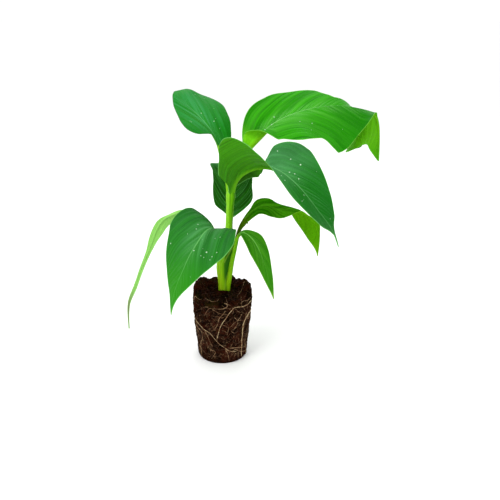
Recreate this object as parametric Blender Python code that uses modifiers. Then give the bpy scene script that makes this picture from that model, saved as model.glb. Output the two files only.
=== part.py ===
"""Banana sapling on its bare root ball, as separate solids in metres with +Z up.

The origin is the centre of the root ball's flat underside. The photograph looks
along +Y, so +X is to its right. Every leaf is a centre line with a blade whose two
halves fold and curl along it. Sizes below are in millimetres.
"""

import math

import bmesh
import bpy
import numpy as np
from mathutils import Vector, noise

MM = 0.001
CLEARANCE = 0.3  # gap kept between neighbouring solids
END_CLEARANCE = 1.1  # the same along a bending centre line, where the lower edges lean together

# Root ball
BALL_HEIGHT = 71.2
BALL_TOP_RADIUS = 30.3
BALL_FOOT_RADIUS = 24.6
BALL_SEGMENTS = 44
BALL_PROFILE = [  # radius, height, from the middle of the top down to the middle of the underside
    (0, BALL_HEIGHT),
    (5, BALL_HEIGHT),
    (10, BALL_HEIGHT),
    (16, 71.0),
    (22, 70.4),
    (26.5, 69),
    (29.4, 66),
    (BALL_TOP_RADIUS, 61),
    (29.9, 52),
    (29, 42),
    (28, 32),
    (27, 22),
    (26, 12),
    (25.3, 5),
    (BALL_FOOT_RADIUS, 1.6),
    (22.5, 0),
    (0, 0),
]
BALL_SIDE = BALL_PROFILE[6:-1]  # from the shoulder to the edge of the foot
LUMP_SCALE = 0.11  # noise cells per millimetre
SIDE_LUMPS = 1.1  # how far the noise moves the side in and out
TOP_LUMPS = 1.05  # and the top up and down
FOOT_FADE = 6  # the side's lumps grow over this height, so that the foot stays round and flat
TOP_START = 60  # the top's lumps and clods grow from here up
CLODS = [  # angle in degrees from the front towards +X, distance from the axis, height, spread
    (-128, 24, 9, 7),
    (-103, 26, 4, 6),
    (150, 26, 3, 5),
    (118, 27, 1.8, 4),
    (-165, 27, 1.6, 5),
    (95, 28, 1.4, 5),
    (-75, 28, 1.2, 6),
]
BARE_PATCH = 10  # level soil round the foot of the stems
PATCH_EDGE = 8  # the patch and the shoulder blend over this

# Roots that wind over the ball: radius, then angle in degrees and height of each bend
ROOTS = [
    (0.8, [(75, 63), (47, 63), (24, 64), (11, 55), (2, 47), (-10, 36), (-14, 26)]),
    (0.9, [(-62, 40), (-46, 37), (-31, 34), (-15, 27), (1, 21), (13, 17), (30, 14)]),
    (0.7, [(6, 19), (9, 11), (13, 4)]),
    (1.2, [(72, 54), (53, 48), (45, 39), (46, 28), (45, 17), (47, 5)]),
    (0.7, [(-39, 54), (-27, 62), (-8, 63), (8, 64)]),
    (0.7, [(6, 60), (-3, 56), (-9, 50), (-19, 39)]),
    (0.7, [(-72, 33), (-60, 29), (-68, 16), (-66, 4)]),
]
HIDDEN_ROOTS = 5  # on the far side, laid by the same kind of path
ROOT_STEP = 5

# Main stem: x, y, height and radius along it
STEM = [
    (-0.8, 0, 71.5, 5.6),
    (-0.8, 0, 74, 5.1),
    (-1.2, 0, 88, 5.0),
    (-1.0, 0, 101, 5.0),
    (2.3, 0, 118, 4.4),
    (6.0, 0, 134, 3.9),
    (7.5, 0, 151, 3.8),
    (7.9, 0, 162, 3.8),
    (8.2, 0, 171.6, 3.7),
]
# Outer stem, the sheath that carries the lower right leaf
SIDE_STEM = [
    (6.2, -2, 71.5, 2.3),
    (6.2, -2, 74, 2.2),
    (6.8, -2, 84, 2.1),
    (8.2, -2, 102, 2.0),
    (11, -2, 116, 1.8),
    (14, -2.5, 126, 1.7),
]

STEM_STEP = 6
CUTTER_LENGTH = 2  # how far the keep-out shape of a stem runs past its ends

STALK_TAPER = (1.2, 1.0)  # petiole radius in midrib radii, at the stem and at the blade
STALK_STEP = 5
RIB_REACH = 0.13  # share of the half-width that the midrib thickens
BASE_WIDTH = 1.2  # half-width that the blade has over its outline at the base, in midrib radii
BASE_FADE = 6  # power by which that extra width dies out
TIP_HALF_WIDTH = 0.9
FLAT_TIP = 0.15  # share of the blade's length over which the fold dies out at the tip
ROWS_ACROSS = 10
ROW_LENGTH = 7.5
CROWDING = 1.6  # pulls the rows across towards the midrib
END_CROWDING = 1.35  # and the rows along towards the base and the tip
PATH_SAMPLES = 240

STEM_GREEN = (0.30, 0.52, 0.05)
LEAF_GREEN = (0.05, 0.24, 0.04)
YOUNG_GREEN = (0.10, 0.36, 0.03)
PALE_GREEN = (0.34, 0.55, 0.16)
SOIL_BROWN = (0.045, 0.016, 0.010)

# Each leaf: its petiole from inside the stem, its blade's centre line from the
# petiole to the tip, the way the upper surface faces where the blade starts,
# the largest half-width with the shape of its outline, and how each half folds up
# from the centre line (degrees), curls, leans forward and shares the half-width.
# "split" is the station at the bend where the blade becomes two solids.
LEAVES = {
    "arched": dict(
        petiole=[],
        blade=[
            (8, 0, 172.2),
            (10, -1, 183),
            (17, -3, 192),
            (27, -6, 198),
            (38, -9, 201),
            (50, -13, 200),
            (62, -19, 194),
            (75, -25, 183),
            (92, -33, 163),
            (104, -37, 147),
            (110, -38, 132),
        ],
        facing=(-1, 0, 0),
        rib_radius=2.3,
        thickness=1.5,
        split=0.34,
        half_width=44,
        blunt=0.42,
        taper=0.85,
        fold_left=[
            (0, 30),
            (0.12, -10),
            (0.22, -35),
            (0.3, -36),
            (0.36, 30),
            (0.4, 46),
            (0.5, 36),
            (0.7, 15),
            (1, 0),
        ],
        fold_right=[(0, 45), (0.1, 62), (0.2, 65), (0.32, 30), (0.45, 8), (0.7, 0), (1, 0)],
        curl_left=[(0, 10), (1, -20)],
        curl_right=[(0, 25), (0.25, 15), (0.4, -5), (1, -5)],
        sweep_left=0.15,
        sweep_right=[(0, 0.4), (0.2, 0.4), (0.4, 0.1), (1, 0.1)],
        share_left=[
            (0, 0.05),
            (0.12, 0.1),
            (0.2, 0.3),
            (0.28, 0.5),
            (0.35, 0.5),
            (0.41, 0.66),
            (0.5, 0.66),
            (0.6, 0.6),
            (1, 0.42),
        ],
        share_right=[
            (0, 0.3),
            (0.07, 0.42),
            (0.13, 0.72),
            (0.19, 0.88),
            (0.25, 0.84),
            (0.31, 0.72),
            (0.45, 0.42),
            (1, 0.4),
        ],
        color=LEAF_GREEN,
    ),
    "upper_right": dict(
        petiole=[(10, 1, 165), (13, 6, 175), (15, 11, 190), (19, 14, 206)],
        blade=[
            (26, 15, 222),
            (35, 16, 233),
            (48, 19, 240),
            (63, 25, 246),
            (79, 33, 250),
            (97, 43, 252),
            (116, 54, 251),
            (136, 66, 248),
            (152, 76, 243),
            (163, 84, 233),
            (168, 88, 211),
            (168, 88, 186),
        ],
        facing=(-0.7, -0.1, 0.7),
        rib_radius=2.1,
        thickness=1.6,
        split=0.66,
        half_width=46,
        blunt=0.5,
        taper=0.7,
        fold_left=[
            (0, 55),
            (0.15, 45),
            (0.3, 33),
            (0.42, 32),
            (0.5, 20),
            (0.57, -20),
            (0.64, -52),
            (0.72, -60),
            (0.85, -50),
            (1, -30),
        ],
        fold_right=[(0, 0), (0.08, -35), (0.25, -50), (0.5, -58), (0.62, -55), (0.72, 0), (1, 0)],
        curl_left=-12,
        curl_right=-10,
        sweep_left=[(0, 0.2), (0.6, 0.2), (0.75, 0), (1, 0)],
        sweep_right=0.0,
        share_left=[(0, 0.95), (0.3, 0.8), (0.6, 0.85), (0.75, 0.95), (0.85, 1.1), (1, 1.1)],
        share_right=[
            (0, 0.8),
            (0.25, 0.75),
            (0.38, 0.8),
            (0.48, 1.15),
            (0.54, 1.1),
            (0.62, 0.72),
            (0.7, 0.35),
            (0.78, 0.1),
            (1, 0.1),
        ],
        color=YOUNG_GREEN,
    ),
    "upper_left": dict(
        petiole=[(6, 1, 164), (4.5, 6.5, 174), (3, 10, 184), (1.5, 13, 196), (-1, 15.5, 208)],
        blade=[(-3, 17, 216), (-9, 20, 229), (-17, 28, 240), (-28, 39, 250), (-38, 48, 258), (-44, 54, 265)],
        facing=(0.6, -0.6, 0.5),
        rib_radius=1.6,
        thickness=1.2,
        half_width=26,
        blunt=0.42,
        taper=0.45,
        fold_left=[(0, 35), (0.3, 10), (1, 0)],
        fold_right=[(0, 35), (0.3, 15), (1, 5)],
        curl_left=-15,
        curl_right=-15,
        share_left=[(0, 0.3), (0.12, 0.6), (0.25, 0.98), (0.5, 0.9), (1, 0.9)],
        share_right=[(0, 1), (0.3, 1.05), (0.7, 1.3), (1, 1.3)],
        color=LEAF_GREEN,
    ),
    "rear": dict(
        petiole=[(8, 1, 146), (9, 8, 159), (10, 16, 174), (9.5, 22, 186)],
        blade=[(9.5, 27, 192), (9, 34, 194), (9, 42, 187), (9, 49, 171), (8, 53, 152), (7, 54, 132)],
        facing=(0, -0.4, 1),
        rib_radius=1.5,
        thickness=1.2,
        split=0.3,
        half_width=22,
        blunt=0.35,
        taper=0.5,
        fold_left=[(0, 30), (0.3, -10), (1, -5)],
        fold_right=[(0, 30), (0.3, -10), (1, -5)],
        curl_left=-15,
        curl_right=-15,
        sweep_left=0.1,
        sweep_right=0.1,
        color=LEAF_GREEN,
    ),
    "middle_right": dict(
        petiole=[(3, 1, 93), (8, 6, 103), (13, 8, 117), (17, 10, 132)],
        blade=[
            (22, 12, 142),
            (30, 16, 150),
            (41, 21, 154),
            (58, 28, 148),
            (72, 35, 147),
            (84, 41, 141),
            (94, 45, 128),
            (100, 46, 110),
            (100, 46, 91),
        ],
        facing=(-0.7, -0.3, 0.6),
        rib_radius=1.5,
        thickness=1.2,
        split=0.55,
        half_width=18,
        blunt=0.5,
        taper=0.7,
        fold_left=[(0, 45), (0.3, 20), (0.5, 0), (0.7, -30), (1, -10)],
        fold_right=[(0, 45), (0.2, 0), (0.4, -20), (1, -10)],
        curl_left=-15,
        curl_right=-15,
        sweep_left=0.1,
        sweep_right=0.1,
        share_left=[(0, 0.6), (0.2, 0.85), (0.5, 1), (0.7, 1.3), (1, 1)],
        share_right=[(0, 0.8), (0.3, 0.8), (0.45, 0.45), (0.6, 0.6), (0.75, 1), (1, 1)],
        color=LEAF_GREEN,
    ),
    "lower_right": dict(
        petiole=[(14, -2.5, 126)],
        blade=[
            (17, -3.5, 132),
            (20, -4.5, 134),
            (26, -7, 132),
            (34, -10, 122),
            (40, -12, 108),
            (46, -13, 88),
            (51, -12, 67),
        ],
        facing=(-0.7, -0.2, 0.7),
        rib_radius=1.3,
        thickness=1.2,
        half_width=11.5,
        blunt=0.5,
        taper=0.8,
        fold_left=[(0, 30), (0.2, 0), (1, -10)],
        fold_right=[(0, 30), (0.2, 0), (1, -10)],
        curl_left=-10,
        curl_right=-10,
        sweep_left=0.15,
        sweep_right=0.15,
        share_left=0.9,
        color=YOUNG_GREEN,
    ),
    "lower_left": dict(
        petiole=[(-1, -2, 92), (-3, -8, 105), (-4, -15, 123)],
        blade=[
            (-6, -22, 137),
            (-9, -31, 147),
            (-14, -37, 146),
            (-20, -43, 139),
            (-27, -48, 129),
            (-34, -53, 115),
            (-42, -56, 96),
            (-47, -55, 70),
        ],
        facing=(0.6, 0.6, 0.5),
        rib_radius=1.8,
        thickness=1.3,
        half_width=36,
        blunt=0.45,
        taper=1.05,
        fold_left=[(0, 40), (0.2, 12), (1, -20)],
        fold_right=[(0, 40), (0.2, 20), (0.5, 0), (1, -10)],
        curl_left=-20,
        curl_right=-20,
        sweep_left=0.1,
        sweep_right=0.1,
        share_left=[(0, 1.05), (0.2, 0.85), (0.5, 0.62), (1, 0.5)],
        share_right=[(0, 0.83), (0.5, 0.78), (1, 0.7)],
        color=LEAF_GREEN,
    ),
    "far_left": dict(
        petiole=[(-2, 1, 93), (-5, 5, 106), (-10, 9, 124), (-19, 15, 140), (-32, 22, 148)],
        blade=[
            (-45, 28, 146),
            (-60, 33, 137),
            (-69, 36, 127),
            (-75, 39, 112),
            (-83, 42, 94),
            (-92, 44, 74),
            (-101, 46, 51),
            (-106, 45, 39),
            (-108, 44, 24),
            (-108, 43, 6),
        ],
        facing=(-0.2, 0.4, 0.9),
        rib_radius=1.3,
        thickness=1.5,
        half_width=5,
        blunt=0.35,
        taper=3,
        roll=[(0, -10), (0.1, -40), (0.25, -70), (1, -75)],
        fold_left=[(0, 20), (0.2, 10), (1, 0)],
        fold_right=[(0, 20), (0.2, 10), (1, 0)],
        curl_left=-15,
        curl_right=-15,
        color=PALE_GREEN,
    ),
}


# Curves and values along a line


def natural_cubic(knots, values, at):
    """Natural cubic spline through values (rows) at knots, read at the stations."""
    knots = np.asarray(knots, float)
    values = np.asarray(values, float)
    count = len(knots)
    step = np.diff(knots)
    matrix = np.eye(count)
    right = np.zeros((count, values.shape[1]))
    for i in range(1, count - 1):
        matrix[i, i - 1 : i + 2] = step[i - 1], 2 * (step[i - 1] + step[i]), step[i]
        right[i] = 6 * ((values[i + 1] - values[i]) / step[i] - (values[i] - values[i - 1]) / step[i - 1])
    bend = np.linalg.solve(matrix, right)
    k = np.clip(np.searchsorted(knots, at) - 1, 0, count - 2)
    after = (at - knots[k])[:, None]
    before = (knots[k + 1] - at)[:, None]
    h = step[k][:, None]
    return (
        (bend[k] * before**3 + bend[k + 1] * after**3) / (6 * h)
        + (values[k] / h - bend[k] * h / 6) * before
        + (values[k + 1] / h - bend[k + 1] * h / 6) * after
    )


def keyed(keys, stations):
    """Smooth value through (station, value) keys that never overshoots them. A number stays a number."""
    if not isinstance(keys, list):
        return np.full(len(stations), float(keys))
    at = np.array([station for station, _ in keys], float)
    value = np.array([v for _, v in keys], float)
    step = np.diff(at)
    slope = np.diff(value) / step
    tangent = np.zeros(len(at))
    tangent[0], tangent[-1] = slope[0], slope[-1]
    for i in range(1, len(at) - 1):
        if slope[i - 1] * slope[i] > 0:
            a, b = 2 * step[i] + step[i - 1], step[i] + 2 * step[i - 1]
            tangent[i] = (a + b) / (a / slope[i - 1] + b / slope[i])
    k = np.clip(np.searchsorted(at, stations) - 1, 0, len(at) - 2)
    t = (stations - at[k]) / step[k]
    return (
        (2 * t**3 - 3 * t**2 + 1) * value[k]
        + (t**3 - 2 * t**2 + t) * step[k] * tangent[k]
        + (3 * t**2 - 2 * t**3) * value[k + 1]
        + (t**3 - t**2) * step[k] * tangent[k + 1]
    )


def chord_lengths(points):
    return np.concatenate([[0], np.cumsum(np.linalg.norm(np.diff(points, axis=0), axis=1))])


def smooth_line(points, count):
    """Evenly spaced points on the spline through the given ones, with their distances along it."""
    points = np.asarray(points, float)
    chords = chord_lengths(points)
    fine = natural_cubic(chords, points, np.linspace(0, chords[-1], 4 * count))
    lengths = chord_lengths(fine)
    at = np.linspace(0, lengths[-1], count)
    return read_rows(lengths, fine, at), at


def read_rows(knots, rows, at):
    return np.stack([np.interp(at, knots, rows[:, i]) for i in range(rows.shape[1])], axis=-1)


def unit(rows):
    return rows / np.linalg.norm(rows, axis=-1, keepdims=True)


# Leaves


class Leaf:
    """The centre line of one leaf, with directions along, up and left of it, and its blade's surface."""

    def __init__(self, name, spec):
        self.name = name
        self.spec = spec
        points = spec["petiole"] + spec["blade"]
        self.line, self.at = smooth_line(points, PATH_SAMPLES)
        nearest = np.linalg.norm(self.line - np.array(spec["blade"][0], float), axis=1)
        self.start = int(np.argmin(nearest)) if spec["petiole"] else 0
        self.length = self.at[-1] - self.at[self.start]
        self.along = unit(np.gradient(self.line, axis=0))
        self.up = self.carried(np.array(spec["facing"], float))
        stations = np.clip((self.at - self.at[self.start]) / self.length, 0, 1)
        roll = np.radians(keyed(spec.get("roll", 0), stations))[:, None]
        left = np.cross(self.up, self.along)
        self.up = self.up * np.cos(roll) + left * np.sin(roll)
        self.left = np.cross(self.up, self.along)

    def carried(self, facing):
        """The upper side's direction, carried both ways from the blade's start without twisting."""
        up = np.zeros_like(self.line)
        for order in (range(self.start, len(self.line)), range(self.start, -1, -1)):
            direction = facing
            for i in order:
                direction = direction - (direction @ self.along[i]) * self.along[i]
                direction = direction / np.linalg.norm(direction)
                up[i] = direction
        return up

    def read(self, rows, stations):
        return read_rows(self.at, rows, self.at[self.start] + self.length * stations)

    def half_width(self, stations):
        """Half-width of the outline: blunt at the base, widest before the middle, tapering to the tip."""
        spec = self.spec
        widest = spec["blunt"] / (spec["blunt"] + spec["taper"])
        s = np.clip(stations, 0, 1)
        outline = (s / widest) ** spec["blunt"] * ((1 - s) / (1 - widest)) ** spec["taper"]
        return outline * spec["half_width"]

    def folded(self, stations):
        """Share of the fold that is left: all of it, down to none at the tip."""
        return 1 - np.clip(1 - (1 - stations) / FLAT_TIP, 0, 1) ** 2

    def rib_thickness(self, stations):
        thick, thin = 2 * self.spec["rib_radius"], self.spec["thickness"]
        return thin + (thick - thin) * (1 - stations)

    def surface(self, stations, across):
        """Points of the upper surface: stations 0 to 1 from base to tip, across -1 (right) to 1 (left)."""
        spec = self.spec
        line, along = self.read(self.line, stations), unit(self.read(self.along, stations))
        up, left = unit(self.read(self.up, stations)), unit(self.read(self.left, stations))
        least = BASE_WIDTH * spec["rib_radius"] * (1 - stations) ** BASE_FADE + TIP_HALF_WIDTH
        points = line + up * (self.rib_thickness(stations) / 2)[:, None]
        for side, sign in (("left", 1), ("right", -1)):
            fold = np.radians(keyed(spec["fold_" + side], stations)) * self.folded(stations)
            curl = np.radians(keyed(spec.get("curl_" + side, 0), stations))
            curl = np.where(np.abs(curl) < 1e-3, 1e-3, curl)
            share = keyed(spec.get("share_" + side, 1), stations)
            width = self.half_width(stations) * share + least
            sweep = keyed(spec.get("sweep_" + side, 0), stations)
            q = np.clip(across * sign, 0, 1)
            out = width / curl * (np.sin(fold + curl * q) - np.sin(fold))
            lift = width / curl * (np.cos(fold) - np.cos(fold + curl * q))
            points = points + sign * left * out[:, None] + up * lift[:, None]
            points = points + along * (sweep * width * q * q)[:, None]
        return points

    def thickness(self, stations, across):
        near_rib = np.clip(1 - np.abs(across) / RIB_REACH, 0, 1)
        thin = self.spec["thickness"]
        return thin + (self.rib_thickness(stations) - thin) * near_rib


def material(name, color, roughness):
    made = bpy.data.materials.new(name)
    made.use_nodes = True
    shader = made.node_tree.nodes["Principled BSDF"]
    shader.inputs["Base Color"].default_value = (*color, 1)
    shader.inputs["Roughness"].default_value = roughness
    shader.inputs["Metallic"].default_value = 0
    made.diffuse_color = (*color, 1)
    return made


def add_object(name, data, collection, look=None):
    obj = bpy.data.objects.new(name, data)
    collection.objects.link(obj)
    if look:
        data.materials.clear()
        data.materials.append(look)
    return obj


def blade(leaf, name, first, last, look, collection):
    """One blade, or the stretch of it between two stations: a grid laid on the leaf's surface, made solid."""
    length = leaf.length * (last - first)
    rows = max(5, round(length / ROW_LENGTH))
    grid = bmesh.new()
    bmesh.ops.create_grid(grid, x_segments=rows, y_segments=ROWS_ACROSS, size=0.5)
    places = np.array([vertex.co for vertex in grid.verts])
    u, v = places[:, 0] + 0.5, 2 * places[:, 1]
    if first == 0:
        u = u**END_CROWDING
    if last == 1:
        u = 1 - (1 - u) ** END_CROWDING
    stations = first + (last - first) * u
    across = np.sign(v) * np.abs(v) ** CROWDING
    points = leaf.surface(stations, across) * MM
    weights = leaf.thickness(stations, across)
    for vertex, point in zip(grid.verts, points):
        vertex.co = Vector(point)
    mesh = bpy.data.meshes.new(name)
    grid.to_mesh(mesh)
    grid.free()
    obj = add_object(name, mesh, collection, look)
    group = obj.vertex_groups.new(name="thickness")
    for index, weight in enumerate(weights / weights.max()):
        group.add([index], float(weight), "REPLACE")
    solid = obj.modifiers.new("Solidify", "SOLIDIFY")
    solid.thickness = weights.max() * MM
    solid.offset = -1
    solid.vertex_group = group.name
    mesh.shade_smooth()
    return obj


# Tubes


def tube(name, points, radii, sides_step, look, collection):
    """A tapering tube through the points, as a curve with filled caps made a closed mesh."""
    curve = bpy.data.curves.new(name, "CURVE")
    curve.dimensions = "3D"
    curve.bevel_depth = MM
    curve.bevel_resolution = sides_step
    curve.use_fill_caps = True
    spline = curve.splines.new("POLY")
    spline.points.add(len(points) - 1)
    for place, point, radius in zip(spline.points, points, radii):
        place.co = (*(np.asarray(point) * MM), 1)
        place.radius = float(radius)
    guide = bpy.data.objects.new(name + "_line", curve)
    collection.objects.link(guide)
    bpy.context.view_layer.update()
    graph = bpy.context.evaluated_depsgraph_get()
    mesh = bpy.data.meshes.new_from_object(guide.evaluated_get(graph))
    mesh.name = name
    shape = bmesh.new()
    shape.from_mesh(mesh)
    bmesh.ops.remove_doubles(shape, verts=shape.verts, dist=1e-6)
    bmesh.ops.recalc_face_normals(shape, faces=shape.faces)
    shape.to_mesh(mesh)
    shape.free()
    obj = add_object(name, mesh, collection, look)
    obj.matrix_world = guide.matrix_world.copy()
    bpy.data.objects.remove(guide)
    mesh.shade_smooth()
    mesh.set_sharp_from_angle(angle=math.radians(40))
    return obj


def spaced(keys, spacing):
    """Rows of position and radius along a smooth line, its first stretch kept straight up."""
    keys = np.asarray(keys, float)
    chords = chord_lengths(keys[:, :3])
    count = int(round((chords[-1] - chords[1]) / spacing)) + 1
    at = np.concatenate([[0], np.linspace(chords[1], chords[-1], count)])
    return natural_cubic(chords, keys, at)


def cut(obj, cutter):
    step = obj.modifiers.new("Cut by " + cutter.name, "BOOLEAN")
    step.operation = "DIFFERENCE"
    step.solver = "EXACT"
    step.object = cutter


def petiole(leaf, name, first, look, collection):
    """The stalk from inside the stem to just short of the blade, tapering towards it."""
    last = leaf.at[leaf.start] - END_CLEARANCE
    count = max(4, int(round((last - first) / STALK_STEP)) + 1)
    at = np.linspace(first, last, count)
    points = read_rows(leaf.at, leaf.line, at)
    radii = leaf.spec["rib_radius"] * np.linspace(*STALK_TAPER, count)
    return tube(name, points, radii, 2, look, collection)


# Root ball


def ball_radius(height):
    return np.interp(height, [z for _, z in BALL_SIDE][::-1], [r for r, _ in BALL_SIDE][::-1])


def lumpy(point):
    """A point of the turned ball, moved by the unevenness of the pressed soil. The underside stays flat."""
    x, y, z = point
    distance = math.hypot(x, y)
    grain = noise.noise(Vector((x, y, z)) * LUMP_SCALE)
    side = min(1, z / FOOT_FADE) * min(1, distance / BALL_FOOT_RADIUS)
    push = 1 + side * SIDE_LUMPS * grain / max(distance, 1)
    x, y = x * push, y * push
    bare = min(1, max(0, (distance - BARE_PATCH) / PATCH_EDGE))
    top = min(1, max(0, (z - TOP_START) / PATCH_EDGE))
    z += top * bare * TOP_LUMPS * grain
    for angle, away, height, spread in CLODS:
        cx, cy = away * math.sin(math.radians(angle)), -away * math.cos(math.radians(angle))
        z += top * height * math.exp(-((x - cx) ** 2 + (y - cy) ** 2) / spread**2)
    return x, y, z


def turned_ball(collection):
    """The root ball as a profile turned round Z and then made uneven."""
    profile = bpy.data.meshes.new("ball_profile")
    rim = [(radius * MM, 0, height * MM) for radius, height in BALL_PROFILE]
    profile.from_pydata(rim, [(i, i + 1) for i in range(len(rim) - 1)], [])
    turned = add_object("ball_turned", profile, collection)
    screw = turned.modifiers.new("Turn", "SCREW")
    screw.steps = screw.render_steps = BALL_SEGMENTS
    screw.use_merge_vertices = True
    screw.merge_threshold = 1e-6
    bpy.context.view_layer.update()
    graph = bpy.context.evaluated_depsgraph_get()
    mesh = bpy.data.meshes.new_from_object(turned.evaluated_get(graph))
    bpy.data.objects.remove(turned)
    mesh.name = "root_ball"
    for vertex in mesh.vertices:
        x, y, z = vertex.co / MM
        if z > 1e-3:
            vertex.co = Vector(lumpy((x, y, z))) * MM
    return mesh


def root_path(bends):
    """Points of a root that lies half sunk in the ball's side through its bends."""
    bends = np.asarray(bends, float)
    around = np.radians(bends[:, 0]) * ball_radius(bends[:, 1])
    flat = np.stack([around, bends[:, 1], np.zeros(len(bends))], axis=-1)
    chords = chord_lengths(flat)
    count = max(3, int(round(chords[-1] / ROOT_STEP)) + 1)
    path = natural_cubic(chords, bends, np.linspace(0, chords[-1], count))
    points = []
    for angle, height in path:
        radius = float(ball_radius(height))
        turn = math.radians(angle)
        points.append(lumpy((radius * math.sin(turn), -radius * math.cos(turn), height)))
    return points


def hidden_roots():
    """Roots of the far side: each comes down from the shoulder, swinging to one side and back."""
    made = []
    for i in range(HIDDEN_ROOTS):
        start = 105 + i * 150 / (HIDDEN_ROOTS - 1)
        swing = 16 if i % 2 else -18
        foot = 6 + 5 * (i % 3)
        bends = []
        for step in range(5):
            share = step / 4
            angle = start + swing * math.sin(math.pi * 1.4 * share)
            bends.append((angle, 62 + (foot - 62) * share))
        made.append((0.7 + 0.15 * (i % 3), bends))
    return made


def root_ball(look, collection, helpers):
    obj = add_object("root_ball", turned_ball(helpers), collection, look)
    for index, (radius, bends) in enumerate(ROOTS + hidden_roots()):
        points = root_path(bends)
        radii = radius * np.linspace(1, 0.7, len(points))
        root = tube(f"root_{index}", points, radii, 1, look, helpers)
        step = obj.modifiers.new("Root", "BOOLEAN")
        step.operation = "UNION"
        step.solver = "EXACT"
        step.object = root
    obj.data.shade_smooth()
    return obj


# The plant


def clear_scene():
    for obj in list(bpy.data.objects):
        bpy.data.objects.remove(obj)


def stem_tube(name, keys, extra, look, collection):
    """A stem, or with an extra radius the wider and longer shape that keeps other solids clear of it."""
    rows = spaced(keys, STEM_STEP)
    if extra:
        top = unit(rows[-1, :3] - rows[-2, :3])
        rows = np.vstack([rows[0], rows, rows[-1]])
        rows[0, 2] -= CUTTER_LENGTH
        rows[-1, :3] += top * extra
    return tube(name, rows[:, :3], rows[:, 3] + extra, 6 if keys is STEM else 3, look, collection)


def build():
    clear_scene()
    plant = bpy.data.collections.new("banana_sapling")
    helpers = bpy.data.collections.new("cutters")
    helpers.hide_render = True
    bpy.context.scene.collection.children.link(plant)
    bpy.context.scene.collection.children.link(helpers)

    soil = material("soil", SOIL_BROWN, 0.95)
    green_stem = material("stem", STEM_GREEN, 0.45)
    root_ball(soil, plant, helpers)
    stem_tube("main_stem", STEM, 0, green_stem, plant)
    keep_out = stem_tube("stem_clearance", STEM, CLEARANCE, None, helpers)
    cut(stem_tube("side_stem", SIDE_STEM, 0, green_stem, plant), keep_out)

    for name, spec in LEAVES.items():
        leaf = Leaf(name, spec)
        look = material(name + "_leaf", spec["color"], 0.4)
        if spec["petiole"]:
            on_side_stem = name == "lower_right"
            first = CLEARANCE if on_side_stem else 0
            stalk = petiole(leaf, name + "_petiole", first, green_stem, plant)
            if not on_side_stem:
                cut(stalk, keep_out)
        split = spec.get("split")
        if not split:
            blade(leaf, name + "_blade", 0, 1, look, plant)
            continue
        half_gap = END_CLEARANCE / 2 / leaf.length
        blade(leaf, name + "_inner_blade", 0, split - half_gap, look, plant)
        blade(leaf, name + "_outer_blade", split + half_gap, 1, look, plant)

    for helper in helpers.objects:
        helper.hide_render = True
        helper.display_type = "WIRE"


build()
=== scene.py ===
"""Looks of the young banana plant on its bare root ball: leaves, petioles, stems, soil, roots and dew.

Everything is worked out in millimetres, in the frame of the solids, and written to meshes in
metres. The origin is the centre of the root ball's flat underside. The camera looks along +Y.
"""

import math

import bmesh
import bpy
import numpy as np
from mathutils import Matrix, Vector, noise


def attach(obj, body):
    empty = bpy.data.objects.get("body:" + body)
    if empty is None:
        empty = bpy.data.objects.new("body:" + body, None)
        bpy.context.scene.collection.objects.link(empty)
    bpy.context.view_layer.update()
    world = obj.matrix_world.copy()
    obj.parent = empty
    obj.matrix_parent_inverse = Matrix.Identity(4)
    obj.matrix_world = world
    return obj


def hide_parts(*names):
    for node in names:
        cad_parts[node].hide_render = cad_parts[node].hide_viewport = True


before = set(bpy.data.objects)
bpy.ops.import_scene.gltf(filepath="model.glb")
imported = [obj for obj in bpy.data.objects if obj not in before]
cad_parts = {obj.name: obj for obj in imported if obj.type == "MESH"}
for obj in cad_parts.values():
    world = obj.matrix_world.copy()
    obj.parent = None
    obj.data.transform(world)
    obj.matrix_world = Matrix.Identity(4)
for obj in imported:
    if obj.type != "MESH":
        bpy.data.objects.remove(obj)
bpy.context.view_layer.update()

MM = 0.001

# Camera, set to the photograph's view. The image is 500 by 500 pixels.
IMAGE_SIDE = 500
FOCAL_PIXELS = 650
CAMERA_DISTANCE = 650
CAMERA_TARGET = np.array((27.3, 0, 115))
CAMERA_ELEVATION = math.radians(20)
SENSOR = 36

# Leaves
PATH_SAMPLES = 240
BLADE_THICKNESS = 0.5
RIM_THICKNESS = 0.28
RIB_SPREAD = 1.25  # half-width of the midrib, in halves of its depth
RIB_DEPTH_AT_TIP = 0.7
BASE_WIDTH = 1.2  # half-width that the blade has over its outline at the base, in midrib radii
BASE_FADE = 6
TIP_HALF_WIDTH = 0.45
FLARE_LENGTH = 8
FLAT_TIP = 0.15
STALK_TAPER = 0.2  # how much wider a petiole is at the stem
STALK_STEP = 1.5
STALK_COLUMNS = 5
STALK_OVERLAP = 0.012  # share of the blade that its petiole runs on into
CREASE_COLUMNS = 7  # from the midrib's middle to where the half reaches its fold
ROW_STEP = 0.72
COLUMN_STEP = 0.95
PLEAT_DEPTH = 0.3
VEIN_LYING = 0.9  # how much more the veins lie along the midrib at the base
RIDGE_WIDTH = 2.3
RIDGE_DEPTH = 0.06
RIPPLE_LENGTH = 17
RIPPLE_HEIGHT = 1.0
BROAD_HALF = 25  # half-width from which ripples have their full height
RIB_GROOVE = 0.12
SIDE_SHIFT = 500.5  # keeps the random relief of the two halves apart
SHARP_ANGLE = 60

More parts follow.
